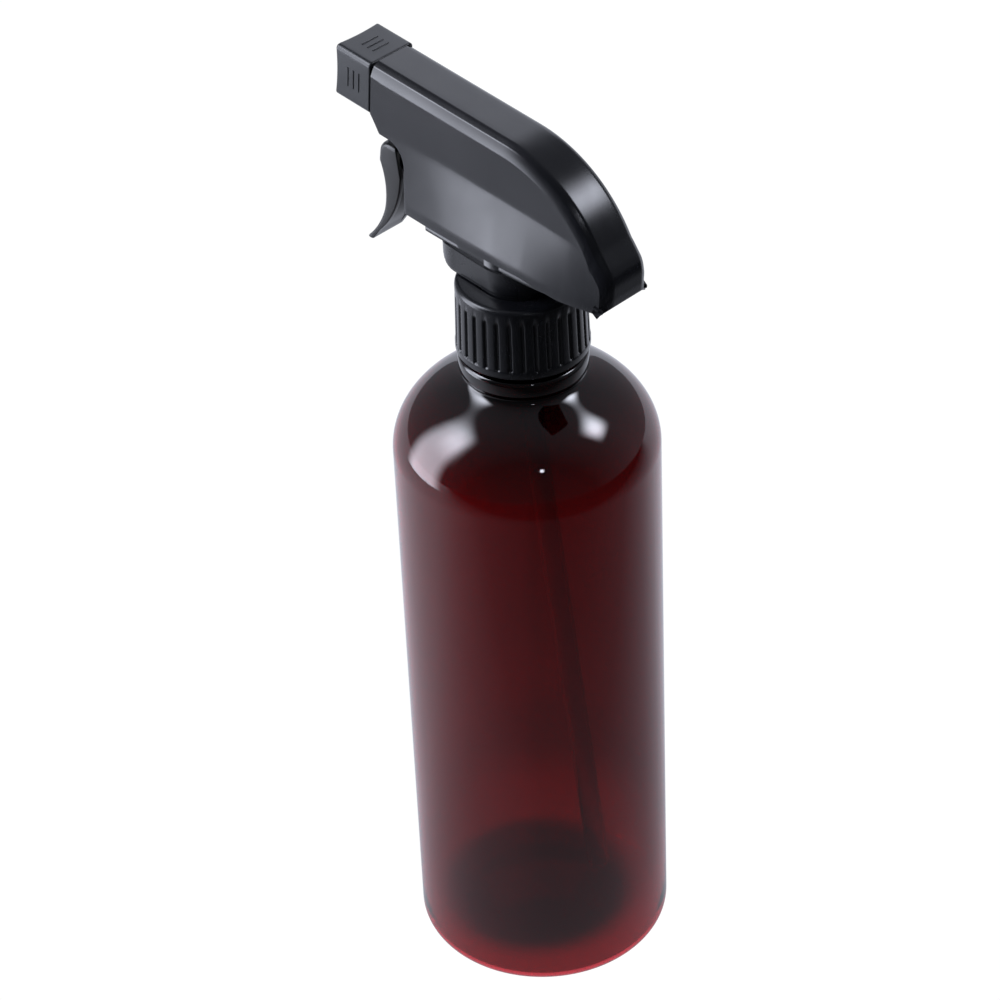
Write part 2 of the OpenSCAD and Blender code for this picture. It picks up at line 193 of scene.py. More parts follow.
def rounded(corners, radii, n=6, closed=True):
    """Rounds the corners of outlines (..., K, 2): each becomes n points of the circle that
    touches both of its sides, with the radius cut down where a side is short."""
    corners = np.asarray(corners, float)
    radii = np.broadcast_to(np.asarray(radii, float), corners.shape[:-1])
    before, after = np.roll(corners, 1, -2) - corners, np.roll(corners, -1, -2) - corners
    lb = np.linalg.norm(before, axis=-1) + 1e-9
    la = np.linalg.norm(after, axis=-1) + 1e-9
    b, a = before / lb[..., None], after / la[..., None]
    half = np.arccos(np.clip((a * b).sum(-1), -0.999999, 0.999999)) / 2
    reach = np.minimum(radii / np.tan(half), 0.48 * np.minimum(la, lb))
    if not closed:
        reach = reach.copy()
        reach[..., [0, -1]] = 0
    radius = reach * np.tan(half)
    middle = a + b
    middle = middle / (np.linalg.norm(middle, axis=-1, keepdims=True) + 1e-9)
    centre = corners + middle * (radius / np.sin(half))[..., None]
    start = corners + b * reach[..., None] - centre
    stop = corners + a * reach[..., None] - centre
    sweep = (math.pi - 2 * half)[..., None, None]
    t = np.linspace(0, 1, n)[:, None]
    weight = np.maximum(np.sin(sweep), 1e-6)
    turn = (start[..., None, :] * np.sin((1 - t) * sweep)
            + stop[..., None, :] * np.sin(t * sweep)) / weight
    points = centre[..., None, :] + turn
    return points.reshape(*corners.shape[:-2], -1, 2)


def turned(profile, steps=ROUND_STEPS, bulge=None, wrap=False):
    """A surface of revolution about Z: profile rows (r, z), with bulge(z, angle) added to r."""
    angle = np.linspace(0, 2 * math.pi, steps, endpoint=False)[None, :]
    r, z = profile[:, :1], profile[:, 1:2]
    if bulge is not None:
        r = r + bulge(z, angle)
    points = np.stack([r * np.cos(angle), r * np.sin(angle), z + 0 * angle], -1)
    return shell(points, wrap_rows=wrap)


def spindle(u, w, profile, steps=48):
    """A pin across the head at (u, w): profile rows (x, r) turned about that line."""
    angle = np.linspace(0, 2 * math.pi, steps, endpoint=False)[None, :]
    x, r = profile[:, :1], profile[:, 1:2]
    return shell(head(x + 0 * angle, u + r * np.cos(angle), w + r * np.sin(angle)))


def slab(outline, x0, x1, edge):
    """A plate between x0 and x1 with a convex outline (u, w): rings that draw in by edge at
    both faces along a quarter circle, each face closed at the outline's middle."""
    middle = outline.mean(0)
    inward = middle - outline
    inward = inward / (np.linalg.norm(inward, axis=1, keepdims=True) + 1e-9)
    turn = np.radians(np.linspace(90, 0, 5))
    inset = np.concatenate([edge * (1 - np.cos(turn)), edge * (1 - np.cos(turn[::-1]))])
    x = np.concatenate([x0 + edge * (1 - np.sin(turn)), x1 - edge * (1 - np.sin(turn[::-1]))])
    rings = outline[None] + inward[None] * inset[:, None, None]
    rings = np.concatenate([np.broadcast_to(middle, rings[:1].shape), rings,
                            np.broadcast_to(middle, rings[:1].shape)])
    x = np.concatenate([[x0], x, [x1]])[:, None]
    return shell(head(x + 0 * rings[..., 0], rings[..., 0], rings[..., 1]))


def swept(path, across, up, radius, sides=16):
    """A round wire along a path: at each point a circle in the plane of across and up, both
    ends drawn in to a point."""
    a = np.linspace(0, 2 * math.pi, sides, endpoint=False)[None, :, None]
    rings = path[:, None] + radius * (np.cos(a) * across[:, None] + np.sin(a) * up[:, None])
    first, last = (np.broadcast_to(path[i], rings[:1].shape) for i in (0, -1))
    return shell(np.concatenate([first, rings, last]))


# ---------- materials ----------

def moulded_polypropylene(name, colours, roughness, grain):
    """Black moulded polypropylene: a deep body colour under a soft gloss. The mould's fine
    spark texture breaks the reflections up, and flow in the mould makes them slightly uneven."""
    material, tree, where = new_material(name)
    # drawn at 0.35 mm, coarser than the real 0.05 mm texture, so that it shows
    spark = add(tree, "ShaderNodeTexNoise", {"Vector": where, "Scale": 2800.0, "Detail": 3.0,
                                            "Roughness": 0.6})
    # flow marks a centimetre or two across
    flow = add(tree, "ShaderNodeTexNoise", {"Vector": where, "Scale": 70.0, "Detail": 2.0,
                                           "Distortion": 0.6}).outputs["Fac"]
    uneven = 0.035
    worn = add(tree, "ShaderNodeMapRange", {"Value": flow, "From Min": 0.3, "From Max": 0.7,
                                           "To Min": roughness - uneven,
                                           "To Max": roughness + uneven})
    shade = add(tree, "ShaderNodeMix", {"Factor": flow, "A": linear(colours[0]),
                                       "B": linear(colours[1])}, data_type="RGBA")
    bump = add(tree, "ShaderNodeBump", {"Height": spark.outputs["Fac"], "Strength": grain,
                                       "Distance": 0.00003})
    surface = add(tree, "ShaderNodeBsdfPrincipled", {
        "Base Color": shade.outputs["Result"], "Roughness": worn.outputs["Result"],
        "IOR": 1.49, "Normal": bump.outputs["Normal"]})
    add(tree, "ShaderNodeOutputMaterial", {"Surface": surface.outputs["BSDF"]})
    return material


def amber_pet(name, colour, roughness):
    """Blow-moulded amber PET: clear, dark red-brown and glossy. The blown wall is a little
    wavy, and the tint takes most of the light at each pass. Light that heads for a lamp goes
    straight through with the tint, so that it reaches the inside of the bottle."""
    material, tree, where = new_material(name)
    stretch = add(tree, "ShaderNodeMapping", {"Vector": where, "Scale": (1.0, 1.0, 0.35)})
    # waves of the blown wall, about 15 mm across and drawn out along the height
    wave = add(tree, "ShaderNodeTexNoise", {"Vector": stretch.outputs["Vector"], "Scale": 65.0,
                                           "Detail": 1.5}).outputs["Fac"]
    haze = add(tree, "ShaderNodeMapRange", {"Value": wave, "From Min": 0.3, "From Max": 0.7,
                                           "To Min": roughness, "To Max": roughness + 0.02})
    bump = add(tree, "ShaderNodeBump", {"Height": wave, "Strength": 0.25, "Distance": 0.0002})
    # the tint is darkened by height from the shoulder to the neck, to almost black; it stands in
    # for colour that builds up with the wall's thickness, which this shader does not have, and at
    # the neck under the closure it is also painted shade, darker than the wall alone would make it
    height = add(tree, "ShaderNodeSeparateXYZ", {"Vector": where})
    thick = add(tree, "ShaderNodeMapRange", {"Value": height.outputs["Z"], "From Min": 0.150,
                                            "From Max": 0.174}, interpolation_type="SMOOTHSTEP")
    tint = add(tree, "ShaderNodeMix", {"Factor": thick.outputs["Result"], "A": linear(colour),
                                      "B": linear("#180406")}, data_type="RGBA")
    surface = add(tree, "ShaderNodeBsdfPrincipled", {
        "Base Color": tint.outputs["Result"], "Roughness": haze.outputs["Result"], "IOR": 1.57,
        "Transmission Weight": 1.0, "Normal": bump.outputs["Normal"]})
    through = add(tree, "ShaderNodeBsdfTransparent", {"Color": tint.outputs["Result"]})
    path = add(tree, "ShaderNodeLightPath")
    mix = add(tree, "ShaderNodeMixShader", {0: path.outputs["Is Shadow Ray"],
                                           1: surface.outputs["BSDF"],
                                           2: through.outputs["BSDF"]})
    add(tree, "ShaderNodeOutputMaterial", {"Surface": mix.outputs["Shader"]})
    return material


def grained(name, scale, colours, rough, bump=None, cells=False, **surface):
    """A surface with one fine pattern, soft noise or closed cells, of a scale per metre. It
    mixes two colours, spreads the roughness over a range, and raises bumps that are given as
    strength and height in metres. Other sockets of the shader come by name."""
    material, tree, where = new_material(name)
    kind, output = ("TexVoronoi", "Distance") if cells else ("TexNoise", "Fac")
    pattern = add(tree, "ShaderNode" + kind, {"Vector": where, "Scale": scale,
                                             **({} if cells else {"Detail": 2.0})})
    pattern = pattern.outputs[output]
    surface = {key.replace("_", " "): value for key, value in surface.items()}
    if len(colours) == 2:
        shade = add(tree, "ShaderNodeMix", {"Factor": pattern, "A": linear(colours[0]),
                                           "B": linear(colours[1])}, data_type="RGBA")
        surface["Base Color"] = shade.outputs["Result"]
    else:
        surface["Base Color"] = linear(colours[0])
    if len(rough) == 2:
        spread = add(tree, "ShaderNodeMapRange", {"Value": pattern, "To Min": rough[0],
                                                 "To Max": rough[1]})
        surface["Roughness"] = spread.outputs["Result"]
    else:
        surface["Roughness"] = rough[0]
    if bump:
        raised = add(tree, "ShaderNodeBump", {"Height": pattern, "Strength": bump[0],
                                             "Distance": bump[1]})
        surface["Normal"] = raised.outputs["Normal"]
    shader = add(tree, "ShaderNodeBsdfPrincipled", surface)
    add(tree, "ShaderNodeOutputMaterial", {"Surface": shader.outputs["BSDF"]})
    return material


FINISHES = {
    "amber_pet": lambda: amber_pet("PET_amber_blown", bpy.context.scene.spray_bottle.colour,
                                   0.03),
    "black_closure": lambda: moulded_polypropylene(
        "PP_black_closure_moulded", ("#0d0e11", "#121317"), 0.25, 0.1),
    "black_shroud": lambda: moulded_polypropylene(
        "PP_black_shroud_moulded", ("#0f1014", "#131418"), 0.22, 0.05),
    "black_body": lambda: moulded_polypropylene(
        "PP_black_body_moulded", ("#0f1013", "#131417"), 0.27, 0.08),
    "black_trigger": lambda: moulded_polypropylene(
        "PP_black_trigger_moulded", ("#131313", "#171717"), 0.33, 0.12),
    "black_nozzle": lambda: moulded_polypropylene(
        "PP_black_nozzle_moulded", ("#15171a", "#1a1d20"), 0.33, 0.2),
    # milky and waxy, with light that spreads under its surface and faint mottling
    "natural_polyethylene": lambda: grained(
        "PE_natural_moulded", 900.0, ("#dedcd0", "#eeece4"), (0.35, 0.45), (0.15, 0.00004),
        IOR=1.52, Subsurface_Weight=0.15, Subsurface_Radius=(1.0, 0.9, 0.8),
        Subsurface_Scale=0.001),
    # the same polyethylene in a thin drawn wall: see-through and slightly hazy
    "clear_tube": lambda: grained(
        "PE_tube_extruded", 900.0, ("#e2ded4", "#f0ede6"), (0.11, 0.21), (0.15, 0.00004),
        IOR=1.52, Transmission_Weight=0.93),
    # off-white foamed sheet full of closed cells about 0.3 mm across, dull and pitted
    "white_foam": lambda: grained(
        "PE_foam_washer_cut", 3200.0, ("#d6d2c6", "#efece4"), (0.75,), (0.5, 0.00008),
        cells=True, IOR=1.45),
    # nitrile rubber: nearly black and dull, with a fine moulded skin
    "black_rubber": lambda: grained("NBR_rubber_moulded", 4000.0, ("#17171a",), (0.5, 0.65),
                                    (0.3, 0.00003), IOR=1.52),
    # bright grey metal whose gloss varies with the marks of drawing
    "spring_steel": lambda: grained("Stainless_wire_drawn", 5000.0, ("#cdccc8",), (0.22, 0.36),
                                    Metallic=1.0),
    # soda-lime glass, ground and tumbled: faintly green and slightly frosted
    "valve_glass": lambda: grained("Glass_ball_ground", 3000.0, ("#dcebe6",), (0.08, 0.2),
                                   IOR=1.52, Transmission_Weight=0.9),
}


MADE = {}


def finish(slot):
    """The material of a slot, made when it is first asked for."""
    if slot not in MADE:
        MADE[slot] = FINISHES[slot]()
    return MADE[slot]


# ---------- settings ----------

def length(name, text, default, low, high):
    """A length in metres that the user can change."""
    return FloatProperty(name=name, description=text, default=default * MM, min=low * MM,
                         max=high * MM, unit="LENGTH", subtype="DISTANCE", precision=5)


class BottleSettings(bpy.types.PropertyGroup):
    """Sizes and colour of the bottle."""

    body_radius: length("Body radius", "Radius of the bottle's body", 32.5, 30, 36)
    shoulder_height: length("Shoulder from", "Height at which the shoulder begins", 151.2, 120, 170)
    wall: length("Wall", "Thickness of the wall", 1.0, 0.8, 1.4)
    heel_radius: length("Heel radius", "Radius of the rounded heel", 4.3, 3, 6)
    bead_radius: length("Bead radius", "Radius of the ring under the closure", 15.7, 15, 16.5)
    colour: StringProperty(name="Colour", description="sRGB hex colour of the amber PET",
                           default="#891c22")


class ClosureSettings(bpy.types.PropertyGroup):
    """Sizes of the screw closure."""

    radius: length("Radius", "Outside radius over the grip ribs", 16.0, 15.8, 16.5)
    ribs: IntProperty(name="Ribs", description="Number of grip ribs", default=32, min=24, max=48)
    groove: length("Groove", "Depth of the grooves between ribs", 0.5, 0.3, 0.7)


class HeadSettings(bpy.types.PropertyGroup):
    """Sizes of the sprayer head."""

    lean: FloatProperty(name="Lean", description="Angle of the barrel above the horizontal",
                        default=math.radians(6), min=math.radians(4), max=math.radians(8),
                        subtype="ANGLE", unit="ROTATION")
    half_width: length("Half width", "Half the width of the shroud's upper part", 7.0, 6.8, 7.5)
    flare: length("Flare", "How far the lower sides flare out", 3.4, 3, 4)
    wall: length("Wall", "Thickness of the shroud", 1.3, 1.2, 1.4)
    edge_round: length("Edge round", "Radius of the bends along the top's edge", 0.8, 0.4, 1.2)
    cap_length: length("Cap length", "Length of the nozzle cap", 11.6, 11, 12)
    lever_half_width: length("Lever half width", "Half the width of the trigger", 5.0, 4.5, 5.5)


class StageSettings(bpy.types.PropertyGroup):
    """Camera, floor and lamps."""

    camera_place: FloatVectorProperty(name="Camera", description="Place of the camera",
                                      default=(0.47300, 0.48133, 0.64243), unit="LENGTH",
                                      subtype="TRANSLATION", precision=4)
    camera_turn: FloatVectorProperty(
        name="Camera turn", description="Turn of the camera about X, Y and Z",
        default=tuple(math.radians(a) for a in (52.9707, 2.1104, 134.5198)),
        subtype="EULER", unit="ROTATION")
    lens: FloatProperty(name="Lens", description="Focal length in millimetres, on 36 mm",
                        default=124.27, min=50, max=200)
    floor_colour: StringProperty(name="Floor", description="sRGB hex colour of the floor",
                                 default="#f4f4f4")


# ---------- bottle ----------

THREAD_PITCH = 4.23
NECK_ROOT_R, THREAD_R = 12.6, 13.8
NECK_BORE_R, NECK_TOP = 10.9, 194.1
SHOULDER_CX, SHOULDER_H, SHOULDER_END_R = -2.0, 23.5, 24.0
PUNT_R, PUNT_H = 21.0, 4.0
NECK_FOOT = (14.7, 173.5)     # where the shoulder's sweep meets the neck
THREAD_Z = 184.0              # height at which the neck's thread starts


def helix_ridge(z, angle, z0, first, turns, base_half, top_half, height):
    """Height of a screw thread over its root: a ridge with sloping flanks along a helix that
    passes angle 0 at z0, from angle first for some turns, tapering out at both ends."""
    start = math.radians(first)
    best = np.zeros(np.broadcast(z, angle).shape)
    for lap in range(math.ceil(turns) + 1):
        a = angle + 2 * math.pi * lap
        off = np.abs(z - z0 - THREAD_PITCH * a / (2 * math.pi))
        ends = np.minimum(a - start, start + 2 * math.pi * turns - a) / math.radians(30)
        flank = np.clip((base_half - off) / (base_half - top_half), 0, 1)
        best = np.maximum(best, height * flank * np.clip(ends + 0.25, 0, 1) * (ends > -0.2))
    return best


def sweep(tangent, pull, end, rise, n=20):
    """A cubic curve that leaves a two-point tangent along its way and turns upright into
    end: pull and rise are how far its handles reach, in mm."""
    way = (tangent[1] - tangent[0]) / np.linalg.norm(tangent[1] - tangent[0])
    p0, p3 = tangent[1], np.array(end)
    p1, p2 = p0 + way * pull, p3 - np.array((0, rise))
    t = np.linspace(0, 1, n)[:, None]
    return ((1 - t) ** 3 * p0 + 3 * t * (1 - t) ** 2 * p1 + 3 * t ** 2 * (1 - t) * p2
            + t ** 3 * p3)


class SPRAY_OT_bottle(bpy.types.Operator):
    """Add the blown bottle with its hollow foot, bead, threaded neck and open mouth"""

    bl_idname = "spray.bottle"
    bl_label = "Bottle"

    def execute(self, context):
        """Turns a closed outline, outside up and inside down, with the thread as a bulge."""
        s = context.scene.spray_bottle
        r, wall, heel = s.body_radius / MM, s.wall / MM, s.heel_radius / MM
        z1 = s.shoulder_height / MM
        bead = s.bead_radius / MM
        dome = (PUNT_R ** 2 + PUNT_H ** 2) / (2 * PUNT_H)
        tilt = math.degrees(math.asin(PUNT_R / dome))
        a_out = math.degrees(math.acos((SHOULDER_END_R - SHOULDER_CX) / (r - SHOULDER_CX)))
        a_in = math.degrees(math.acos((SHOULDER_END_R - 0.7 - SHOULDER_CX)
                                      / (r - wall - SHOULDER_CX)))
        foot = arc(0, PUNT_H - dome, dome, dome, 90, 90 - tilt, 18)
        base = rounded([foot[-2], foot[-1], (PUNT_R + 1.5, 0.0)], 3.0, closed=False, n=5)
        neck = rounded([NECK_FOOT, (14.75, 174.3), (bead, 174.9),
                        (bead, 179.0), (NECK_ROOT_R, 179.3), (NECK_ROOT_R, 181)],
                       [0, 0.4, 0.9, 1.3, 0.5, 0], n=7, closed=False)
        outside = np.concatenate([
            foot[:-2], base,
            arc(r - heel, heel, heel, heel, -90, 0, 16),
            line((r, heel + 2), (r, z1 - 0.5), 24),
            arc(SHOULDER_CX, z1, r - SHOULDER_CX, SHOULDER_H, 0, a_out, 48)[:-1],
            sweep(arc(SHOULDER_CX, z1, r - SHOULDER_CX, SHOULDER_H, a_out - 1, a_out, 2),
                  5.5, NECK_FOOT, 1.6)[:-1],
            neck,
            line((NECK_ROOT_R, 181.3), (NECK_ROOT_R, NECK_TOP - 0.4), 40),
            arc(NECK_ROOT_R - 0.4, NECK_TOP - 0.4, 0.4, 0.4, 0, 90, 4)])
        inside = np.concatenate([
            arc(NECK_BORE_R + 0.3, NECK_TOP - 0.3, 0.3, 0.3, 90, 180, 4),
            line((NECK_BORE_R, NECK_TOP - 1), (NECK_BORE_R, 173.2), 8),
            sweep(arc(SHOULDER_CX, z1, r - wall - SHOULDER_CX, SHOULDER_H - wall,
                      a_in - 1, a_in, 2), 6.0, (NECK_BORE_R, 173.0), 1.8)[::-1],
            arc(SHOULDER_CX, z1, r - wall - SHOULDER_CX, SHOULDER_H - wall, a_in, 0, 48)[1:],
            line((r - wall, z1 - 2), (r - wall, heel + 1), 24),
            arc(r - heel, heel, heel - wall, heel - wall, 0, -90, 12),
            arc(0, PUNT_H - dome, dome + wall, dome + wall, 90 - tilt, 90, 18)])

        def thread(z, angle):
            """The ridge stands on the neck only: rows of the outline over the bead."""
            ridge = helix_ridge(z, angle, THREAD_Z, 0, 1.5, 1.1, 0.5,
                                THREAD_R - NECK_ROOT_R)
            return ridge * on_neck

        profile = np.concatenate([outside, inside])
        row = np.arange(len(profile))[:, None]
        on_neck = ((row < len(outside) - 4) & (profile[:, 1:2] > 180.9)).astype(float)
        profile[[0, -1], 0] = 0
        make_piece("bottle_blown", [turned(profile, bulge=thread)], finish("amber_pet"),
                   "bottle", ["bottle"])
        return {"FINISHED"}


# ---------- closure ----------

CLOSURE_Z = (180.3, 199.0)
CLOSURE_BORE_R, CLOSURE_HOLE_R, LIP_Z = 14.2, 10.5, 197.35


class SPRAY_OT_closure(bpy.types.Operator):
    """Add the ribbed screw closure with its inner thread"""

    bl_idname = "spray.closure"
    bl_label = "Closure"

    def execute(self, context):
        """Turns a ring-shaped outline; ribs are a bulge with a narrow groove between two."""
        s = context.scene.spray_closure
        r, ribs, groove = s.radius / MM, s.ribs, s.groove / MM
        z0, z1 = CLOSURE_Z
        low, high = z0 + 2.0, z1 - 3.0
        skirt = rounded([(CLOSURE_BORE_R, z0 + 0.5), (CLOSURE_BORE_R, z0), (r + 0.1, z0),
                         (r + 0.1, low - 0.1), (r, low + 0.3)],
                        [0, 0.2, 0.5, 0.4, 0], n=5, closed=False)
        outside = np.concatenate([
            skirt,
            line((r, low + 0.35), (r - 0.35, high - 0.35), 30),
            rounded([(r - 0.4, high - 0.3), (r - 0.4, z1), (CLOSURE_HOLE_R, z1),
                     (CLOSURE_HOLE_R, LIP_Z), (CLOSURE_BORE_R, LIP_Z),
                     (CLOSURE_BORE_R, LIP_Z - 1.2)],
                    [0, 1.3, 0.2, 0.2, 0.3, 0], n=6, closed=False)])
        bore = line((CLOSURE_BORE_R, LIP_Z - 1.6), (CLOSURE_BORE_R, z0 + 0.6), 44)
        profile = np.concatenate([outside, bore])
        row = np.arange(len(profile))[:, None]
        outer = (row < len(outside) - 36).astype(float)
        inner = (row >= len(outside)).astype(float)

        def grip(z, angle):
            """Grooves that start and stop short of the bands, less the thread in the bore."""
            phase = np.abs((angle * ribs / (2 * math.pi)) % 1 - 0.5) * 2
            cut = smooth(np.clip((phase - 0.62) / 0.26, 0, 1))
            crown = 0.12 * phase ** 2
            body = np.clip(np.minimum(z - low, high - z) / 0.35, 0, 1)
            thread = helix_ridge(z, angle, 182.1, 10, 1.25, 1.0, 0.45, 0.9)
            return -outer * body * (groove * cut + crown) - inner * thread

        make_piece("closure_ribbed", [turned(profile, ribs * 14, grip, wrap=True)],
                   finish("black_closure"), "closure", ["closure"], sharp=50)
        return {"FINISHED"}


# ---------- shroud ----------

SEAM_U = 40.4                 # front of the shroud
CREASE_W = -7.7
EDGE_Z = 208.0                # lower edge of the shroud
TAIL_U, TAIL_W = 36.5, -21.2  # how far back the tail reaches, and where it ends
TAIL_DROP = 1.8               # how much lower the edge runs near the tail
TOP_PATH = np.concatenate([
    line((SEAM_U, 7.1), (-2, 7.1), 40),
    arc(-2, -28.9, 36, 36, 90, 145, 40),
    arc(-28.8, -16.6, 7.6, 7.6, 142, 180, 12),
    [(-TAIL_U, -19.0), (-36.4, TAIL_W)]])


def edge_w(u):
    """Height w of the lower edge: level in the world, a little lower towards the tail, where
    it is meant to cover the plate's end, and drawn up over the tail."""
    c, s = math.cos(lean_angle()), math.sin(lean_angle())
    level = (EDGE_Z - HEAD_Z - u * s) / c - TAIL_DROP * np.clip((-12.0 - u) / 12.0, 0, 1)
    lift = np.clip((-35.2 - u) / 1.2, 0, 1)
    return level + lift * (TAIL_W - (EDGE_Z - HEAD_Z + TAIL_U * s) / c)


def crease_w(u):
    """Height w of the line where the sides begin to flare; it falls towards the tail."""
    fall = np.clip((-24.0 - u) / 7.0, 0, 1.6) ** 1.6 * 2.9
    return CREASE_W - fall - np.clip((u - 18) / 19, 0, 1) * 1.9


def bow_at(s):
    """Share of the full flare at distance s ahead of the bottle's axis: two parabolas."""
    return 1 - ((s + 8) / np.where(s < -8, 27, 50)) ** 2


def side_x(u, w):
    """Half-width of the shroud's outside at (u, w): straight above the crease, and below it
    a straight flare to an edge that bows out in plan."""
    p = bpy.context.scene.spray_head
    s = u * math.cos(lean_angle()) - edge_w(u) * math.sin(lean_angle())
    bow = bow_at(s) * np.clip((u + TAIL_U) / 1.2, 0, 1)
    share = np.clip((crease_w(u) - w) / (crease_w(u) - edge_w(u)), 0, 1)
    # a soft bend about 1 mm long where the flare begins
    share = np.sqrt(share ** 2 + 0.0004) - 0.02
    return p.half_width / MM + p.flare / MM * bow * share


class SPRAY_OT_shroud(bpy.types.Operator):
    """Add the shroud: flat top, bevelled edges, upper sides and flared lower sides"""

    bl_idname = "spray.shroud"
    bl_label = "Shroud"

    def execute(self, context):
        """Joins the top line to the lower edge station by station; each station's section is
        half a flat top, a round, a straight facet, the side and the flare, then mirrored."""
        p = context.scene.spray_head
        half = p.half_width / MM
        edge_u = np.linspace(26.9, -35.2, 80)
        lower = np.concatenate([
            [(SEAM_U, -6.6), (39.7, -7.4), (37.3, -10.7)],
            arc(34.2, -16.6, 5.9, 5.9, 90, 180, 16),
            line((28.3, -17.5), (edge_u[0] + 0.1, edge_w(edge_u[0]) + 0.6), 12),
            np.stack([edge_u, edge_w(edge_u)], -1)])
        # pairs of places along the top line and along the lower edge, joined by stations
        top_len, low_len = lengths(TOP_PATH), lengths(lower)

        def low_at(u):
            """Length along the lower edge at which its level part passes u."""
            return np.interp(-u, -lower[31:, 0], low_len[31:])

        straight = SEAM_U + 2
        turn1, turn2 = top_len[79], top_len[91]
        keys = np.array([
            [0, 0], [1.9, low_len[1] + 1.6], [3.9, low_len[2]], [7.4, low_len[3]],
            [10.9, low_len[9]], [13.9, low_len[19]], [20.4, low_at(26.9)],
            [straight, low_at(0.0)], [straight + (turn1 - straight) * 0.45, low_at(-17.0)],
            [turn1 - 5, low_at(-28.5)], [turn1, low_at(-31.3)], [turn2 - 2, low_at(-33.9)],
            [top_len[-1] - 1.2, low_at(-34.9)], [top_len[-1], low_len[-1]]])
        at = np.concatenate([np.linspace(0, 20.4, 52), np.linspace(21, top_len[-1], 130)])
        top = along(TOP_PATH, at)
        down = along(lower, np.interp(at, keys[:, 0], keys[:, 1])) - top
        reach = np.linalg.norm(down, axis=1)
        down = down / reach[:, None]
        tangent = np.gradient(top, axis=0)
        tangent = tangent / np.linalg.norm(tangent, axis=1, keepdims=True)
        across = np.abs(tangent[:, 0] * down[:, 1] - tangent[:, 1] * down[:, 0])
        stretch = 1 / np.clip(across, 0.55, 1)

        # flat top, a slope of about 33 degrees, a facet of about 67, then the side
        soft = p.edge_round / MM
        edge = rounded([(0, 0), (4.7, 0), (6.1, 0.9), (half, 3.0)],
                       [0, 2 * soft, soft, 0], n=7, closed=False)[7:]
        upper = np.concatenate([line((0, 0), (3.4, 0), 5), edge])
        corner_t = np.minimum(upper[-1, 1] * stretch, 0.9 * reach)
        upper_x = np.broadcast_to(upper[:-7, 0], (len(at), len(upper) - 7))
        upper_t = upper[None, :-7, 1] * (corner_t / upper[-1, 1])[:, None]

        # the crease's place on each station, where it crosses it
        walk = np.linspace(0, 1, 200)[None, :] * (reach - corner_t)[:, None] + corner_t[:, None]
        above = (top[:, None, 1] + walk * down[:, None, 1]) - crease_w(
            top[:, None, 0] + walk * down[:, None, 0])
        crossing = (above > 0).sum(1).clip(1, 199)
        crease_t = walk[np.arange(len(at)), crossing]
        crease_t = np.where(above[:, 0] <= 0, corner_t + 0.05 * (reach - corner_t), crease_t)
        crease_t = np.where(above[:, -1] > 0, corner_t + 0.7 * (reach - corner_t), crease_t)
        a = np.array([0.0, 0.06, 0.2, 0.5, 0.8, 0.94])[None, :]
        b = np.array([0.0, 0.04, 0.1, 0.25, 0.45, 0.65, 0.85, 1.0])[None, :]
        side_t = np.concatenate([
            corner_t[:, None] + 0.12 + (crease_t - corner_t - 0.12).clip(0)[:, None] * a,
            crease_t[:, None] + (reach - crease_t)[:, None] * b], 1)
        place = top[:, None] + side_t[..., None] * down[:, None]
        side = side_x(place[..., 0], place[..., 1])

        x = np.concatenate([upper_x, side], 1)
        t = np.concatenate([upper_t, side_t], 1)
        place = top[:, None] + t[..., None] * down[:, None]
        x = np.concatenate([-x[:, :0:-1], x], 1)
        place = np.concatenate([place[:, :0:-1], place], 1)
        # the front wall runs in from the first station's edge to the hole for the barrel
        ring_x, ring_w = x[0], place[0, :, 1]
        angle = np.arctan2(ring_x, ring_w)
        hole = np.stack([4.9 * np.sin(angle), 4.9 * np.cos(angle)], -1)
        ease = np.array([1.0, 0.9, 0.5, 0.06])[:, None]
        wall_x = hole[None, :, 0] * ease + ring_x * (1 - ease)
        wall_w = hole[None, :, 1] * ease + ring_w * (1 - ease)
        x = np.concatenate([wall_x, x])
        place = np.concatenate([
            np.stack([np.full_like(wall_x, SEAM_U), wall_w], -1), place])
        points = head(x, place[..., 0], place[..., 1])
        piece = make_piece("shroud_cover", [shell(points, wrap_cols=False)],
                           finish("black_shroud"), "head", ["shroud"], sharp=32)
        thick = piece.modifiers.new("Wall", "SOLIDIFY")
        thick.thickness = p.wall
        thick.offset = -1
        soften(piece, 0.2, 60)
        return {"FINISHED"}


# ---------- bowl under the shroud ----------

def polar(outline, centre, angle):
    """Distance from centre to a closed outline (x, s) at each angle, read between its points."""
    off = outline - centre
    a = np.arctan2(off[:, 0], off[:, 1]) % (2 * math.pi)
    order = np.argsort(a)
    return np.interp(angle, a[order], np.linalg.norm(off, axis=1)[order], period=2 * math.pi)


PLATE_BACK, PLATE_FRONT = -31.0, 22.5   # ends of the plate, ahead of the axis


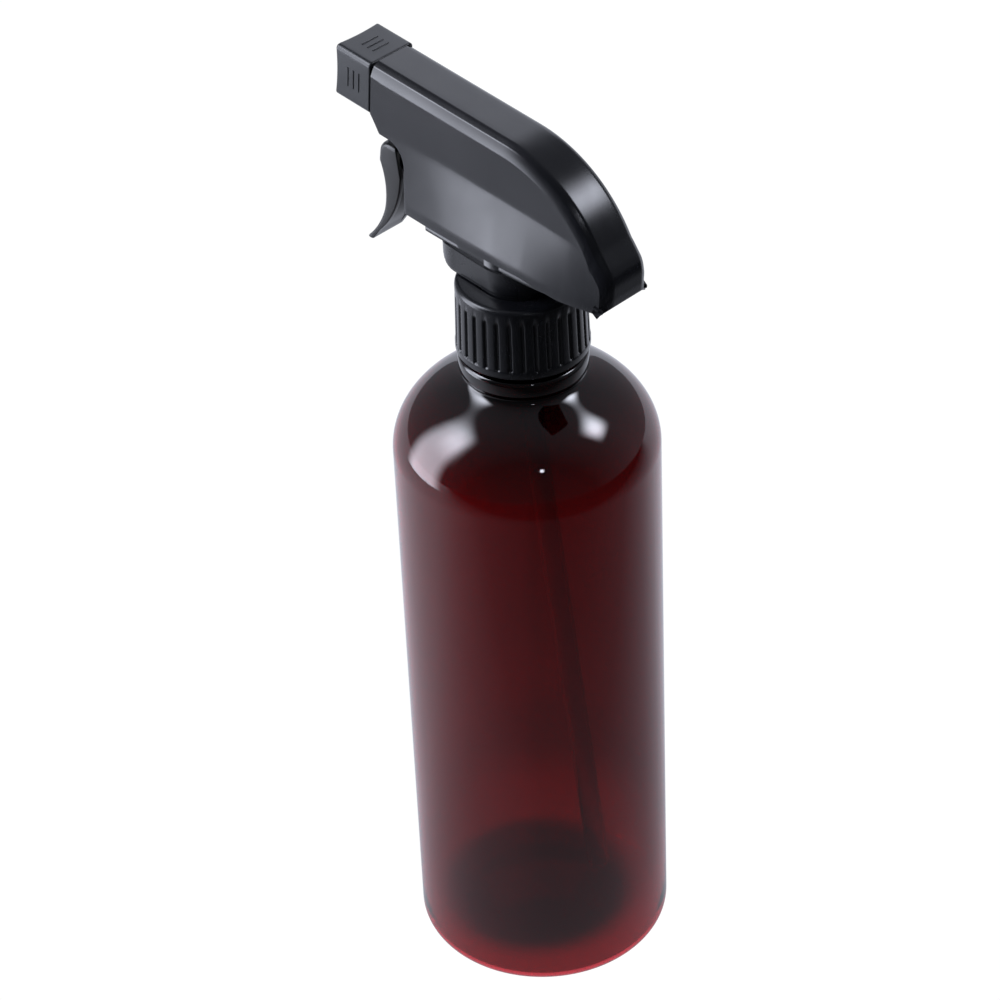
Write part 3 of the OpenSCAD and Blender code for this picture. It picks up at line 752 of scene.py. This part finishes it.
class SPRAY_OT_bowl(bpy.types.Operator):
    """Add the smooth bowl and thin plate that close the pump body under the shroud"""

    bl_idname = "spray.bowl"
    bl_label = "Bowl and plate"

    def execute(self, context):
        """Stacks outlines given by their distance from one upright line: the bowl, whose chin
        is cut by a cylinder across the head, then out along the plate to its edge."""
        p = context.scene.spray_head
        proud = 0.15
        angle = np.linspace(0, 2 * math.pi, 288, endpoint=False)
        centre = np.array([0, 2.0])
        bowl = np.concatenate([
            arc(0, 0, 10.2, 10.2, 180, 360, 60), line((10.2, 0.2), (9.2, 12.3), 20),
            arc(0, 12.3, 9.2, 9.2, 0, 180, 60), line((-9.2, 12.1), (-10.2, 0), 20)])
        s = np.linspace(PLATE_BACK, PLATE_FRONT, 200)
        edge = np.stack([p.half_width / MM + p.flare / MM * bow_at(s) - 0.7, s], -1)
        front, back = (np.stack([np.linspace(x, -x, 40), np.full(40, end)], -1)
                       for x, end in ((edge[-1, 0], PLATE_FRONT), (-edge[0, 0], PLATE_BACK)))
        plate = np.concatenate([edge, front, edge[::-1] * (-1, 1), back])
        rho_bowl = polar(bowl, centre, angle) + proud
        rho_plate = polar(plate, centre, angle) + proud
        foot, top, under = 199.4 - proud, 207.93, 206.3 - proud
        turn = np.radians(np.linspace(0, 90, 6))
        rise = np.concatenate([foot + 0.9 * (1 - np.cos(turn)),
                               np.linspace(foot + 1.1, under - 0.6, 16)])
        draw = np.concatenate([0.9 * (1 - np.sin(turn)), np.zeros(16)])
        rows = np.stack([rho_bowl - d for d in draw])
        chin = 12.5 + proud + np.sqrt(np.maximum(81 - (208.4 - np.maximum(rise, 199.41)) ** 2, 0))
        limit = (chin[:, None] - centre[1]) / np.maximum(np.cos(angle), 1e-3)[None, :]
        rows = np.minimum(rows, np.where(np.cos(angle) > 0.02, limit, 99))
        inner = rows[:1] - 1.5
        fillet = rows[-1:] + 0.6 * (1 - np.cos(turn))[1:, None]
        fillet_z = under - 0.6 + 0.6 * np.sin(turn)[1:]
        out = np.linspace(0.1, 0.97, 8)[:, None]
        plane = fillet[-1:] * (1 - out) + (rho_plate - 0.3)[None] * out
        rim = rho_plate[None] - 0.3 * (1 - np.sin(turn))[:, None]
        rim_z = under + 0.3 * (1 - np.cos(turn))
        rho = np.concatenate([inner, rows, fillet, plane, rim, rho_plate[None] - 0.05])
        z = np.concatenate([[foot], rise, fillet_z, np.full(8, under), rim_z, [top]])[:, None]
        points = np.stack([rho * np.sin(angle), -(centre[1] + rho * np.cos(angle)),
                           z + 0 * rho], -1)
        piece = make_piece("pump_bowl", [shell(points)], finish("black_body"), "head")
        thick = piece.modifiers.new("Wall", "SOLIDIFY")
        thick.thickness = 0.1 * MM
        thick.offset = -1
        return {"FINISHED"}


# ---------- nozzle cap ----------

CAP_U, CAP_HALF = 40.7, 7.0   # rear of the cap, and half its width
BARS_U, BAR_HALF, BAR_R = (44.4, 46.2, 48.0), 2.5, 0.24


def square_radius(angle, half, corner):
    """Distance from the axis to a rounded square's edge: its flats, or its corner arcs."""
    ca, sa = np.abs(np.cos(angle)), np.abs(np.sin(angle))
    inset = half - corner
    along = inset * (ca + sa)
    bend = along + np.sqrt(np.maximum(along ** 2 - 2 * inset ** 2 + corner ** 2, 0))
    on_flat = np.minimum(ca, sa) / np.maximum(ca, sa) <= inset / half
    return np.where(on_flat, half / np.maximum(ca, sa), bend)


class SPRAY_OT_nozzle(bpy.types.Operator):
    """Add the square nozzle cap with its dished front, orifice and raised marks"""

    bl_idname = "spray.nozzle"
    bl_label = "Nozzle cap"

    def execute(self, context):
        """A closed stack of rings about the barrel's axis, from round in the bore to square
        outside; the front rings dip towards the middle of each side. Marks are half-round bars."""
        p = context.scene.spray_head
        half, tip = CAP_HALF, CAP_U + p.cap_length / MM
        inset = math.atan2(half - 1.2, half)
        quarter = np.concatenate([np.arctan(np.linspace(-1, 1, 17)[:-1] * math.tan(inset)),
                                  np.linspace(inset, math.pi / 2 - inset, 13)[:-1]])
        angle = np.concatenate([quarter + k * math.pi / 2 for k in range(4)])
        along = np.linspace(CAP_U + 0.6, tip - 0.6, 24)
        # (half width or radius, corner radius or 0 for a circle, u)
        rings = np.array([
            [0.4, 0, 50.4], [4.3, 0, 50.4], [4.45, 0, 50.25], [4.45, 0, CAP_U + 0.45],
            [4.75, 0, CAP_U + 0.12], [5.0, 0, CAP_U + 0.02], [6.62, 0.9, CAP_U + 0.02],
            [6.8, 1.05, CAP_U + 0.06], [6.93, 1.15, CAP_U + 0.16], [7.0, 1.2, CAP_U + 0.32],
            *[[7.0, 1.2, u] for u in along],
            [7.0, 1.2, tip - 0.42], [6.94, 1.15, tip - 0.2], [6.8, 1.05, tip - 0.07],
            [6.58, 0.9, tip], [5.6, 0.8, tip], [3.2, 0, tip - 0.02], [3.0, 0, tip - 0.06],
            [2.9, 0, tip - 0.3], [1.6, 0, tip - 0.34], [1.45, 0, tip - 0.4],
            [0.5, 0, 51.4], [0.4, 0, 51.3], [0.4, 0, 50.9]])
        size, corner, u = rings[:, :1], rings[:, 1:2], rings[:, 2:3]
        square = square_radius(angle[None, :], size, np.maximum(corner, 0.1))
        rho = np.where(corner > 0, square, size)
        x, w = rho * np.sin(angle), rho * np.cos(angle)
        middle = 1 - (np.minimum(np.abs(x), np.abs(w)) / half) ** 2
        near_front = np.clip((u - (tip - 4)) / 4, 0, 1) ** 2
        u = u - 0.5 * middle * near_front * (size > 3.5)
        shells = [shell(head(x, u, w), wrap_rows=True)]

        def bar(u_bar, side):
            """A raised half-round bar across the top (side 0) or up a side (side 1 or -1)."""
            t = np.concatenate([[0, 0.02], np.linspace(0.06, 0.94, 10), [0.98, 1]])
            run, level = -BAR_HALF * (1 - t) + BAR_HALF * t, half - 0.05
            path = head(run, u_bar, level) if side == 0 else head(side * level, u_bar, run)
            ones = np.ones((len(t), 1))
            outward = head(0, 0, 1) - head(0, 0, 0) if side == 0 else np.array([side, 0, 0])
            return swept(path, ones * (head(0, -1, 0) - head(0, 0, 0)), ones * outward,
                         BAR_R, 12)

        shells += [bar(u_bar, side) for u_bar in BARS_U for side in (0, 1, -1)]
        make_piece("nozzle_cap_square", shells, finish("black_nozzle"), "nozzle",
                   ["nozzle_cap"])
        return {"FINISHED"}


# ---------- trigger ----------

PIVOT = (35.5, -8.0)
NOSE = (33.2, -18.5)


class SPRAY_OT_trigger(bpy.types.Operator):
    """Add the finger lever: a curved channel with a neck, trunnions and the nose that pushes"""

    bl_idname = "spray.trigger"
    bl_label = "Trigger"

    def execute(self, context):
        """Carries a U-shaped section along two side lines, front and back; the channel fills
        in towards both ends, and the ends are rounded off."""
        a = context.scene.spray_head.lever_half_width / MM
        front_line = np.concatenate([
            rounded([(38.1, -14.4), (39.6, -16.4), (39.77, -20.15)], [0, 3, 0], n=8,
                    closed=False)[:-8],
            arc(59.1, -30, 21.7, 21.7, 153, 220, 40), [(43.2, -44.8)]])
        back_line = np.concatenate([
            rounded([(33.8, -14.4), (33.0, -17.6), (32.1, -21.0)], [0, 3, 0], n=8,
                    closed=False)[:-8],
            arc(61.5, -22, 29.5, 29.5, 180, 219, 40), [(41.0, -44.7)]])
        turn = np.radians(np.linspace(0, 90, 7))
        edge = 0.9
        short = edge / 31.0
        v = np.concatenate([short * (1 - np.sin(turn[::-1])),
                            np.linspace(short * 1.3, 1 - short * 1.3, 56),
                            1 - short * (1 - np.sin(turn))])
        inset = np.concatenate([edge * (1 - np.cos(turn[::-1])), np.zeros(56),
                                edge * (1 - np.cos(turn))])
        f, r = (along(path, v * lengths(path)[-1]) for path in (front_line, back_line))
        across = r - f
        depth = np.linalg.norm(across, axis=1)
        across = across / depth[:, None]
        solid = smooth(np.clip(np.maximum((0.12 - v) / 0.09, (v - 0.8) / 0.16), 0, 1))
        web = np.minimum(1.4 + (depth - 1.4) * solid, depth - 0.02)
        cheek = a - 1.4
        near, far = inset, depth - inset
        web = np.minimum(np.maximum(web, near + 0.01), far - 0.005)
        x = np.stack([a - inset, a - inset, inset - a, inset - a,
                      -cheek + 0 * inset, -cheek + 0 * inset,
                      cheek + 0 * inset, cheek + 0 * inset], -1)
        t = np.stack([far, near, near, far, far, web, web, far], -1)
        section = rounded(np.stack([x, t], -1), [0.35, 1.5, 1.5, 0.35, 0.3, 0.7, 0.7, 0.3], n=7)
        place = f[:, None] + section[..., 1:] * across[:, None]
        rings = np.concatenate([section[..., :1], place], -1)
        # a ring at the middle of each end, drawn together to one point, closes it
        mid = np.pad(f + 0.5 * depth[:, None] * across, ((0, 0), (1, 0)))
        ends = [np.broadcast_to(mid[k], rings[:1].shape) for k in (0, -1)]
        body = np.concatenate([ends[0], rings, ends[1]])
        half_pin = np.array([(-5.1, 0), (-5.1, 1.15), (-4.85, 1.4), (-3.4, 1.4), (-3.3, 1.5),
                             (-3.3, 2.2), (-3.1, 2.4)])
        pin = np.concatenate([half_pin, half_pin[::-1] * (-1, 1)])
        nose = np.array([(-3.7, 0), (-3.7, 1.6), (3.7, 1.6), (3.7, 0)])
        neck = rounded([(33.8, -8), (37.5, -8), (38.4, -17), (36.3, -17)], 0.6, n=4)
        rib = rounded([(33.2, -19.7), (33.2, -17.3), (38, -17.3), (38, -19.7)], 0.2, n=3)
        shells = [shell(head(body[..., 0], body[..., 1], body[..., 2])),
                  spindle(*PIVOT, pin), spindle(*NOSE, nose),
                  slab(neck, -3.3, 3.3, 0.35), slab(rib, -1.2, 1.2, 0.15)]
        make_piece("trigger_lever", shells, finish("black_trigger"), "trigger",
                   ["trigger"])
        return {"FINISHED"}


# ---------- tube and springs ----------

class SPRAY_OT_tube(bpy.types.Operator):
    """Add the dip tube: straight out of the retainer, one gentle bend, then down to the heel"""

    bl_idname = "spray.tube"
    bl_label = "Dip tube"

    def execute(self, context):
        """Carries a ring along the route at right angles to it, outside down and bore up."""
        bend_r, bend_a, heading = 200.0, 5.8, math.radians(165.5)
        a = np.radians(np.concatenate([[0, 0], np.linspace(0, bend_a, 12), [bend_a] * 12]))
        drop = np.concatenate([[195, 190], 184 - bend_r * np.sin(a[2:14]), np.zeros(12)])
        out = np.concatenate([[0, 0], bend_r * (1 - np.cos(a[2:14])), np.zeros(12)])
        run = np.linspace(159 / 12, 159, 12)
        drop[14:] = drop[13] - run * math.cos(a[-1])
        out[14:] = out[13] + run * math.sin(a[-1])
        ring = np.linspace(0, 2 * math.pi, 40, endpoint=False)[None, :]
        rows = []
        for radius, order in ((2.95, slice(None)), (2.15, slice(None, None, -1))):
            o, d, t = out[order][:, None], drop[order][:, None], a[order][:, None]
            reach = o + radius * np.cos(ring) * np.cos(t)
            side = radius * np.sin(ring) + 0 * t
            rows.append(np.stack([reach * math.cos(heading) - side * math.sin(heading),
                                  reach * math.sin(heading) + side * math.cos(heading),
                                  d + radius * np.cos(ring) * np.sin(t)], -1))
        piece = make_piece("dip_tube_extruded", [shell(np.concatenate(rows), wrap_rows=True)],
                           finish("clear_tube"), "head", ["dip_tube"])
        soften(piece, 0.12, 50)
        return {"FINISHED"}


def coil(u0, u1, w, mean_r, wire_r, turns):
    """A compression spring along the barrel from u0 to u1: a wire on a helix whose rise eases
    in and out, so that its end turns lie closed."""
    t = np.linspace(0, 1, int(40 * turns) + 1)
    a = 2 * math.pi * turns * t
    rise = u0 + wire_r + (u1 - u0 - 2 * wire_r) * (0.5 - 0.5 * np.cos(math.pi * t))
    path = head(mean_r * np.cos(a), rise, w + mean_r * np.sin(a))
    origin = head(0, 0, 0)
    across = head(np.cos(a), 0 * a, np.sin(a)) - origin
    along = np.broadcast_to(head(0, 1, 0) - origin, across.shape)
    return swept(path, across, along, wire_r, 12)


class SPRAY_OT_springs(bpy.types.Operator):
    """Add the pump's return spring and the outlet valve's spring"""

    bl_idname = "spray.springs"
    bl_label = "Springs"

    def execute(self, context):
        """Two coils, each with a mesh of its own."""
        axis = tuple((head(0, 1, 0) - head(0, 0, 0)).tolist())
        piece = make_piece("return_spring_wire", [coil(4.05, 14.95, -18.5, 4.3, 0.45, 5)],
                           finish("spring_steel"), "head", ["return_spring"])
        tuple((head(0, 4.05, -18.5) * MM).tolist())
        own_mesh(piece)
        piece = make_piece("outlet_spring_wire", [coil(8.65, 18.05, 0, 1.6, 0.25, 7)],
                           finish("spring_steel"), "head", ["outlet_spring"])
        tuple((head(0, 18.05, 0) * MM).tolist())
        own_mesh(piece)
        return {"FINISHED"}


# ---------- pieces kept from the CAD ----------

KEPT = {
    "closure_gasket": ("white_foam", 0.1),
    "tube_retainer": ("natural_polyethylene", 0.12),
    "retainer_o_ring": ("black_rubber", 0),
    "inlet_ball": ("valve_glass", 0),
    "outlet_ball": ("valve_glass", 0),
    "barrel_plug": ("black_body", 0.12),
    "spray_core": ("natural_polyethylene", 0.08),
    "nozzle_seal": ("white_foam", 0.08),
    "piston": ("natural_polyethylene", 0.12),
    "piston_seal": ("black_rubber", 0.08),
    "vent_seal": ("black_rubber", 0.08),
    "pump_body": ("black_body", 0.12),
}


class SPRAY_OT_inner(bpy.types.Operator):
    """Give the pieces inside the sprayer their finish and break their sharp edges"""

    bl_idname = "spray.inner"
    bl_label = "Inner pieces"

    def execute(self, context):
        """Sets each kept piece's material; a weld and a small bevel soften turned edges."""
        for name, (slot, edge) in KEPT.items():
            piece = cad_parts[name]
            piece.data.materials.clear()
            piece.data.materials.append(finish(slot))
            if edge:
                weld = piece.modifiers.new("Join", "WELD")
                weld.merge_threshold = MERGE
                soften(piece, edge, 40, 1)
        return {"FINISHED"}


# ---------- stage ----------

LAMP_COLOUR = "#edf1ff"       # cool daylight white of the lamps
# ways over the floor: towards the main view, across it, and the way the reflections fade
FRONT, ACROSS, FADE = (0.693, 0.721, 0.0), (-0.721, 0.693, 0.0), (0.405, 0.998, 0.0)


def stage_floor(colour):
    """Floor sheet that only looks plain. To the camera it is white and gives off its own light, so
    that no shadow shows on it. Reflected rays find light that it gives off in a painted gradient,
    bright behind and beside the bottle and dark in front. Rays refracted through the bottle find a
    painted shadow, a dark disc under its foot, and a painted glow, a bright ring round that, which
    give the foot its dark middle and its glowing rim; the wall and its tint do not. The disc, the
    ring and the gradient were fitted for the main view. Only diffuse light finds a plain pale
    sheet."""
    material, tree, where = new_material("Floor_pale_painted_shade_and_glow")
    path = add(tree, "ShaderNodeLightPath")
    toward, front, across = (
        add(tree, "ShaderNodeVectorMath", {0: where, 1: way}, operation="DOT_PRODUCT")
        .outputs["Value"] for way in (FADE, FRONT, ACROSS))
    # painted light and shade for reflected rays: bright behind and beside the bottle, dark in front
    run = add(tree, "ShaderNodeMapRange", {"Value": toward, "From Min": -0.2, "From Max": 0.3})
    fade = add(tree, "ShaderNodeValToRGB", {"Fac": run.outputs["Result"]})
    stops = fade.color_ramp.elements
    stops[0].color, stops[1].color = (0.95, 0.95, 0.95, 1), (0.03, 0.03, 0.03, 1)
    for place, level in ((0.28, 0.78), (0.46, 0.44), (0.64, 0.2)):
        stops.new(place).color = (level, level, level, 1)
    # only the first reflection sees it at full strength, not those inside the bottle
    later = add(tree, "ShaderNodeMapRange", {"Value": path.outputs["Ray Depth"],
                                            "From Min": 1.0, "From Max": 2.0,
                                            "To Min": 1.0, "To Max": 0.25})
    level = add(tree, "ShaderNodeMath", {0: fade.outputs["Color"], 1: later.outputs["Result"]},
                operation="MULTIPLY").outputs["Value"]
    # distance from the middle of the painted shadow disc, which lies 6 mm behind the bottle's axis
    from_foot = add(tree, "ShaderNodeVectorMath", {0: where, 1: (0.0027, 0.0057, 0.0)},
                    operation="ADD")
    away = add(tree, "ShaderNodeVectorMath", {0: from_foot.outputs["Vector"]},
               operation="LENGTH").outputs["Value"]
    # painted light under the foot for refracted rays: a disc of painted shadow, a ring of painted
    # glow round it that is brighter towards the front, and a painted level beyond that
    # what is read, where it starts and stops in metres, and what it turns into there
    heel, beyond, off_painted_shadow, off_painted_glow = (
        add(tree, "ShaderNodeMapRange", {"Value": value, "From Min": low, "From Max": high,
                                        "To Min": start, "To Max": stop},
            interpolation_type="SMOOTHSTEP").outputs["Result"]
        for value, low, high, start, stop in (
            (front, -0.01, 0.025, 1.3, 2.3), (across, -0.03, 0.0, 1.2, 0.62),
            (away, 0.021, 0.030, 0, 1), (away, 0.040, 0.060, 0, 1)))
    foot = add(tree, "ShaderNodeMix", {"Factor": off_painted_shadow, "A": 0.08, "B": heel})
    ring = add(tree, "ShaderNodeMix", {"Factor": off_painted_glow, "A": foot.outputs["Result"],
                                      "B": beyond}).outputs["Result"]
    found = add(tree, "ShaderNodeBsdfDiffuse", {"Color": linear(colour)}).outputs["BSDF"]
    # the light that each kind of ray finds: the painted gradient for reflected rays, the painted
    # shadow and glow for refracted rays, plain white for the camera
    for ray, tint, strength in (("Is Glossy Ray", LAMP_COLOUR, level),
                                ("Is Transmission Ray", LAMP_COLOUR, ring),
                                ("Is Camera Ray", "#ffffff", 1.02)):
        look = add(tree, "ShaderNodeEmission", {"Color": linear(tint), "Strength": strength})
        mix = add(tree, "ShaderNodeMixShader", {0: path.outputs[ray], 1: found,
                                               2: look.outputs["Emission"]})
        found = mix.outputs["Shader"]
    add(tree, "ShaderNodeOutputMaterial", {"Surface": found})
    return material


def softbox(name, place, target, size, brightness, soft):
    """A rectangular lamp at place that faces target, size in metres. Its power in watts is
    four times its area times its brightness. Its cloth dims over the outer soft share of
    each half, so its reflections have soft edges."""
    lamp = bpy.data.lights.new(name, "AREA")
    lamp.shape = "RECTANGLE"
    lamp.size, lamp.size_y = size
    lamp.energy = 4 * size[0] * size[1] * brightness
    lamp.use_nodes = True
    tree = lamp.node_tree
    tree.nodes.clear()
    on_cloth = add(tree, "ShaderNodeNewGeometry").outputs["Parametric"]
    centred = add(tree, "ShaderNodeVectorMath", {0: on_cloth, 1: (2, 2, 0), 2: (-1, -1, 0)},
                  operation="MULTIPLY_ADD")
    from_middle = add(tree, "ShaderNodeVectorMath", {0: centred.outputs["Vector"]},
                      operation="ABSOLUTE")
    parts = add(tree, "ShaderNodeSeparateXYZ", {"Vector": from_middle.outputs["Vector"]})
    fade = [add(tree, "ShaderNodeMapRange", {"Value": parts.outputs[axis], "From Min": 1 - soft,
                                            "From Max": 1.0, "To Min": 1.0, "To Max": 0.0},
                interpolation_type="SMOOTHSTEP").outputs["Result"] for axis in ("X", "Y")]
    level = add(tree, "ShaderNodeMath", {0: fade[0], 1: fade[1]}, operation="MULTIPLY")
    light = add(tree, "ShaderNodeEmission", {"Color": linear(LAMP_COLOUR),
                                            "Strength": level.outputs["Value"]})
    add(tree, "ShaderNodeOutputLight", {"Surface": light.outputs["Emission"]})
    box = bpy.data.objects.new(name, lamp)
    bpy.context.scene.collection.objects.link(box)
    place, target = np.array(place, float), np.array(target, float)
    back = (place - target) / np.linalg.norm(place - target)
    side = np.cross((0, 0, 1), back)
    side = side / np.linalg.norm(side)
    top = np.cross(back, side)
    box.rotation_euler = (math.atan2(top[2], back[2]), math.asin(-side[2]),
                          math.atan2(side[1], side[0]))
    box.location = place
    box.visible_camera = False


def around(azimuth, distance, height):
    """A place at an azimuth in degrees and a distance from the bottle's axis, in metres."""
    a = math.radians(azimuth)
    return (distance * math.cos(a), distance * math.sin(a), height)


class SPRAY_OT_stage(bpy.types.Operator):
    """Add the floor, the studio light and the camera"""

    bl_idname = "spray.stage"
    bl_label = "Stage"

    def execute(self, context):
        """One floor plane, a sky that is dim in front, five softboxes and a camera."""
        s = context.scene.spray_stage
        reach, drop = 3.0, -0.0004
        mesh = bpy.data.meshes.new("floor")
        mesh.from_pydata([(x * reach, y * reach, drop) for x, y in
                          ((-1, -1), (1, -1), (1, 1), (-1, 1))], [], [(0, 1, 2, 3)])
        mesh.materials.append(stage_floor(s.floor_colour))
        floor = bpy.data.objects.new("floor", mesh)
        context.scene.collection.objects.link(floor)

        world = bpy.data.worlds.new("Studio")
        context.scene.world = world
        world.use_nodes = True
        tree = world.node_tree
        tree.nodes.clear()
        path = add(tree, "ShaderNodeLightPath")
        way = add(tree, "ShaderNodeTexCoord").outputs["Generated"]
        # dim in front and brighter at the sides and behind, but plain white to the camera
        toward = add(tree, "ShaderNodeVectorMath", {0: way, 1: FRONT},
                     operation="DOT_PRODUCT")
        room = add(tree, "ShaderNodeMapRange", {"Value": toward.outputs["Value"],
                                               "From Min": -0.2, "From Max": 0.6,
                                               "To Min": 0.3, "To Max": 0.06})
        soft = add(tree, "ShaderNodeBackground", {"Color": linear(LAMP_COLOUR),
                                                 "Strength": room.outputs["Result"]})
        white = add(tree, "ShaderNodeBackground", {"Color": linear("#ffffff"), "Strength": 1.0})
        mix = add(tree, "ShaderNodeMixShader", {0: path.outputs["Is Camera Ray"],
                                               1: soft.outputs["Background"],
                                               2: white.outputs["Background"]})
        add(tree, "ShaderNodeOutputWorld", {"Surface": mix.outputs["Shader"]})

        middle = (0, 0, 0.2)
        # the left box reaches below the floor, so that it stays bright down to the floor
        softbox("softbox_left", around(-48, 0.62, 0.36), around(-48, 0, 0.36), (0.5, 1.56), 5.2,
                0.6)
        softbox("softbox_left_high", around(-42, 0.64, 0.78), around(-42, 0, 0.78),
                (0.48, 0.9), 5.0, 0.9)
        softbox("softbox_right", around(140, 0.4, 0.57), middle, (0.24, 0.24), 13.0, 0.95)
        softbox("softbox_back", around(-132, 0.9, 0.70), middle, (0.95, 0.74), 1.3, 0.25)
        softbox("softbox_small", around(59, 0.8, 0.87), middle, (0.06, 0.06), 15.0, 0.1)

        camera = bpy.data.cameras.new("Camera")
        camera.sensor_width = 36
        camera.lens = s.lens
        camera.clip_start, camera.clip_end = 0.01, 50
        view = bpy.data.objects.new("Camera", camera)
        view.location = s.camera_place
        view.rotation_euler = s.camera_turn
        context.scene.collection.objects.link(view)
        context.scene.camera = view
        context.scene.view_settings.view_transform = "Standard"
        return {"FINISHED"}


# ---------- panel and registration ----------

PIECES = (SPRAY_OT_bottle, SPRAY_OT_closure, SPRAY_OT_shroud, SPRAY_OT_bowl, SPRAY_OT_nozzle,
          SPRAY_OT_trigger, SPRAY_OT_tube, SPRAY_OT_springs, SPRAY_OT_inner, SPRAY_OT_stage)


class SPRAY_PT_panel(bpy.types.Panel):
    """Settings and buttons of the spray bottle"""

    bl_idname = "SPRAY_PT_panel"
    bl_label = "Spray bottle"
    bl_space_type = "VIEW_3D"
    bl_region_type = "UI"
    bl_category = "Spray bottle"

    def draw(self, context):
        """Lists every setting, then a button for each piece."""
        for group in (context.scene.spray_bottle, context.scene.spray_closure,
                      context.scene.spray_head, context.scene.spray_stage):
            box = self.layout.box()
            for key in group.__annotations__:
                box.prop(group, key)
        for operator in PIECES:
            self.layout.operator(operator.bl_idname)


SETTINGS = {"spray_bottle": BottleSettings, "spray_closure": ClosureSettings,
            "spray_head": HeadSettings, "spray_stage": StageSettings}


def register():
    """Makes the settings, operators and panel known to Blender."""
    for cls in (*SETTINGS.values(), *PIECES, SPRAY_PT_panel):
        bpy.utils.register_class(cls)
    for name, cls in SETTINGS.items():
        setattr(bpy.types.Scene, name, PointerProperty(type=cls))


def unregister():
    """Takes them away again."""
    for name in SETTINGS:
        delattr(bpy.types.Scene, name)
    for cls in reversed((*SETTINGS.values(), *PIECES, SPRAY_PT_panel)):
        bpy.utils.unregister_class(cls)


def main():
    """Builds every piece and the stage in order."""
    register()
    bpy.ops.spray.bottle()
    bpy.ops.spray.closure()
    bpy.ops.spray.shroud()
    bpy.ops.spray.bowl()
    bpy.ops.spray.nozzle()
    bpy.ops.spray.trigger()
    bpy.ops.spray.tube()
    bpy.ops.spray.springs()
    bpy.ops.spray.inner()
    bpy.ops.spray.stage()


if __name__ == "__main__":
    main()
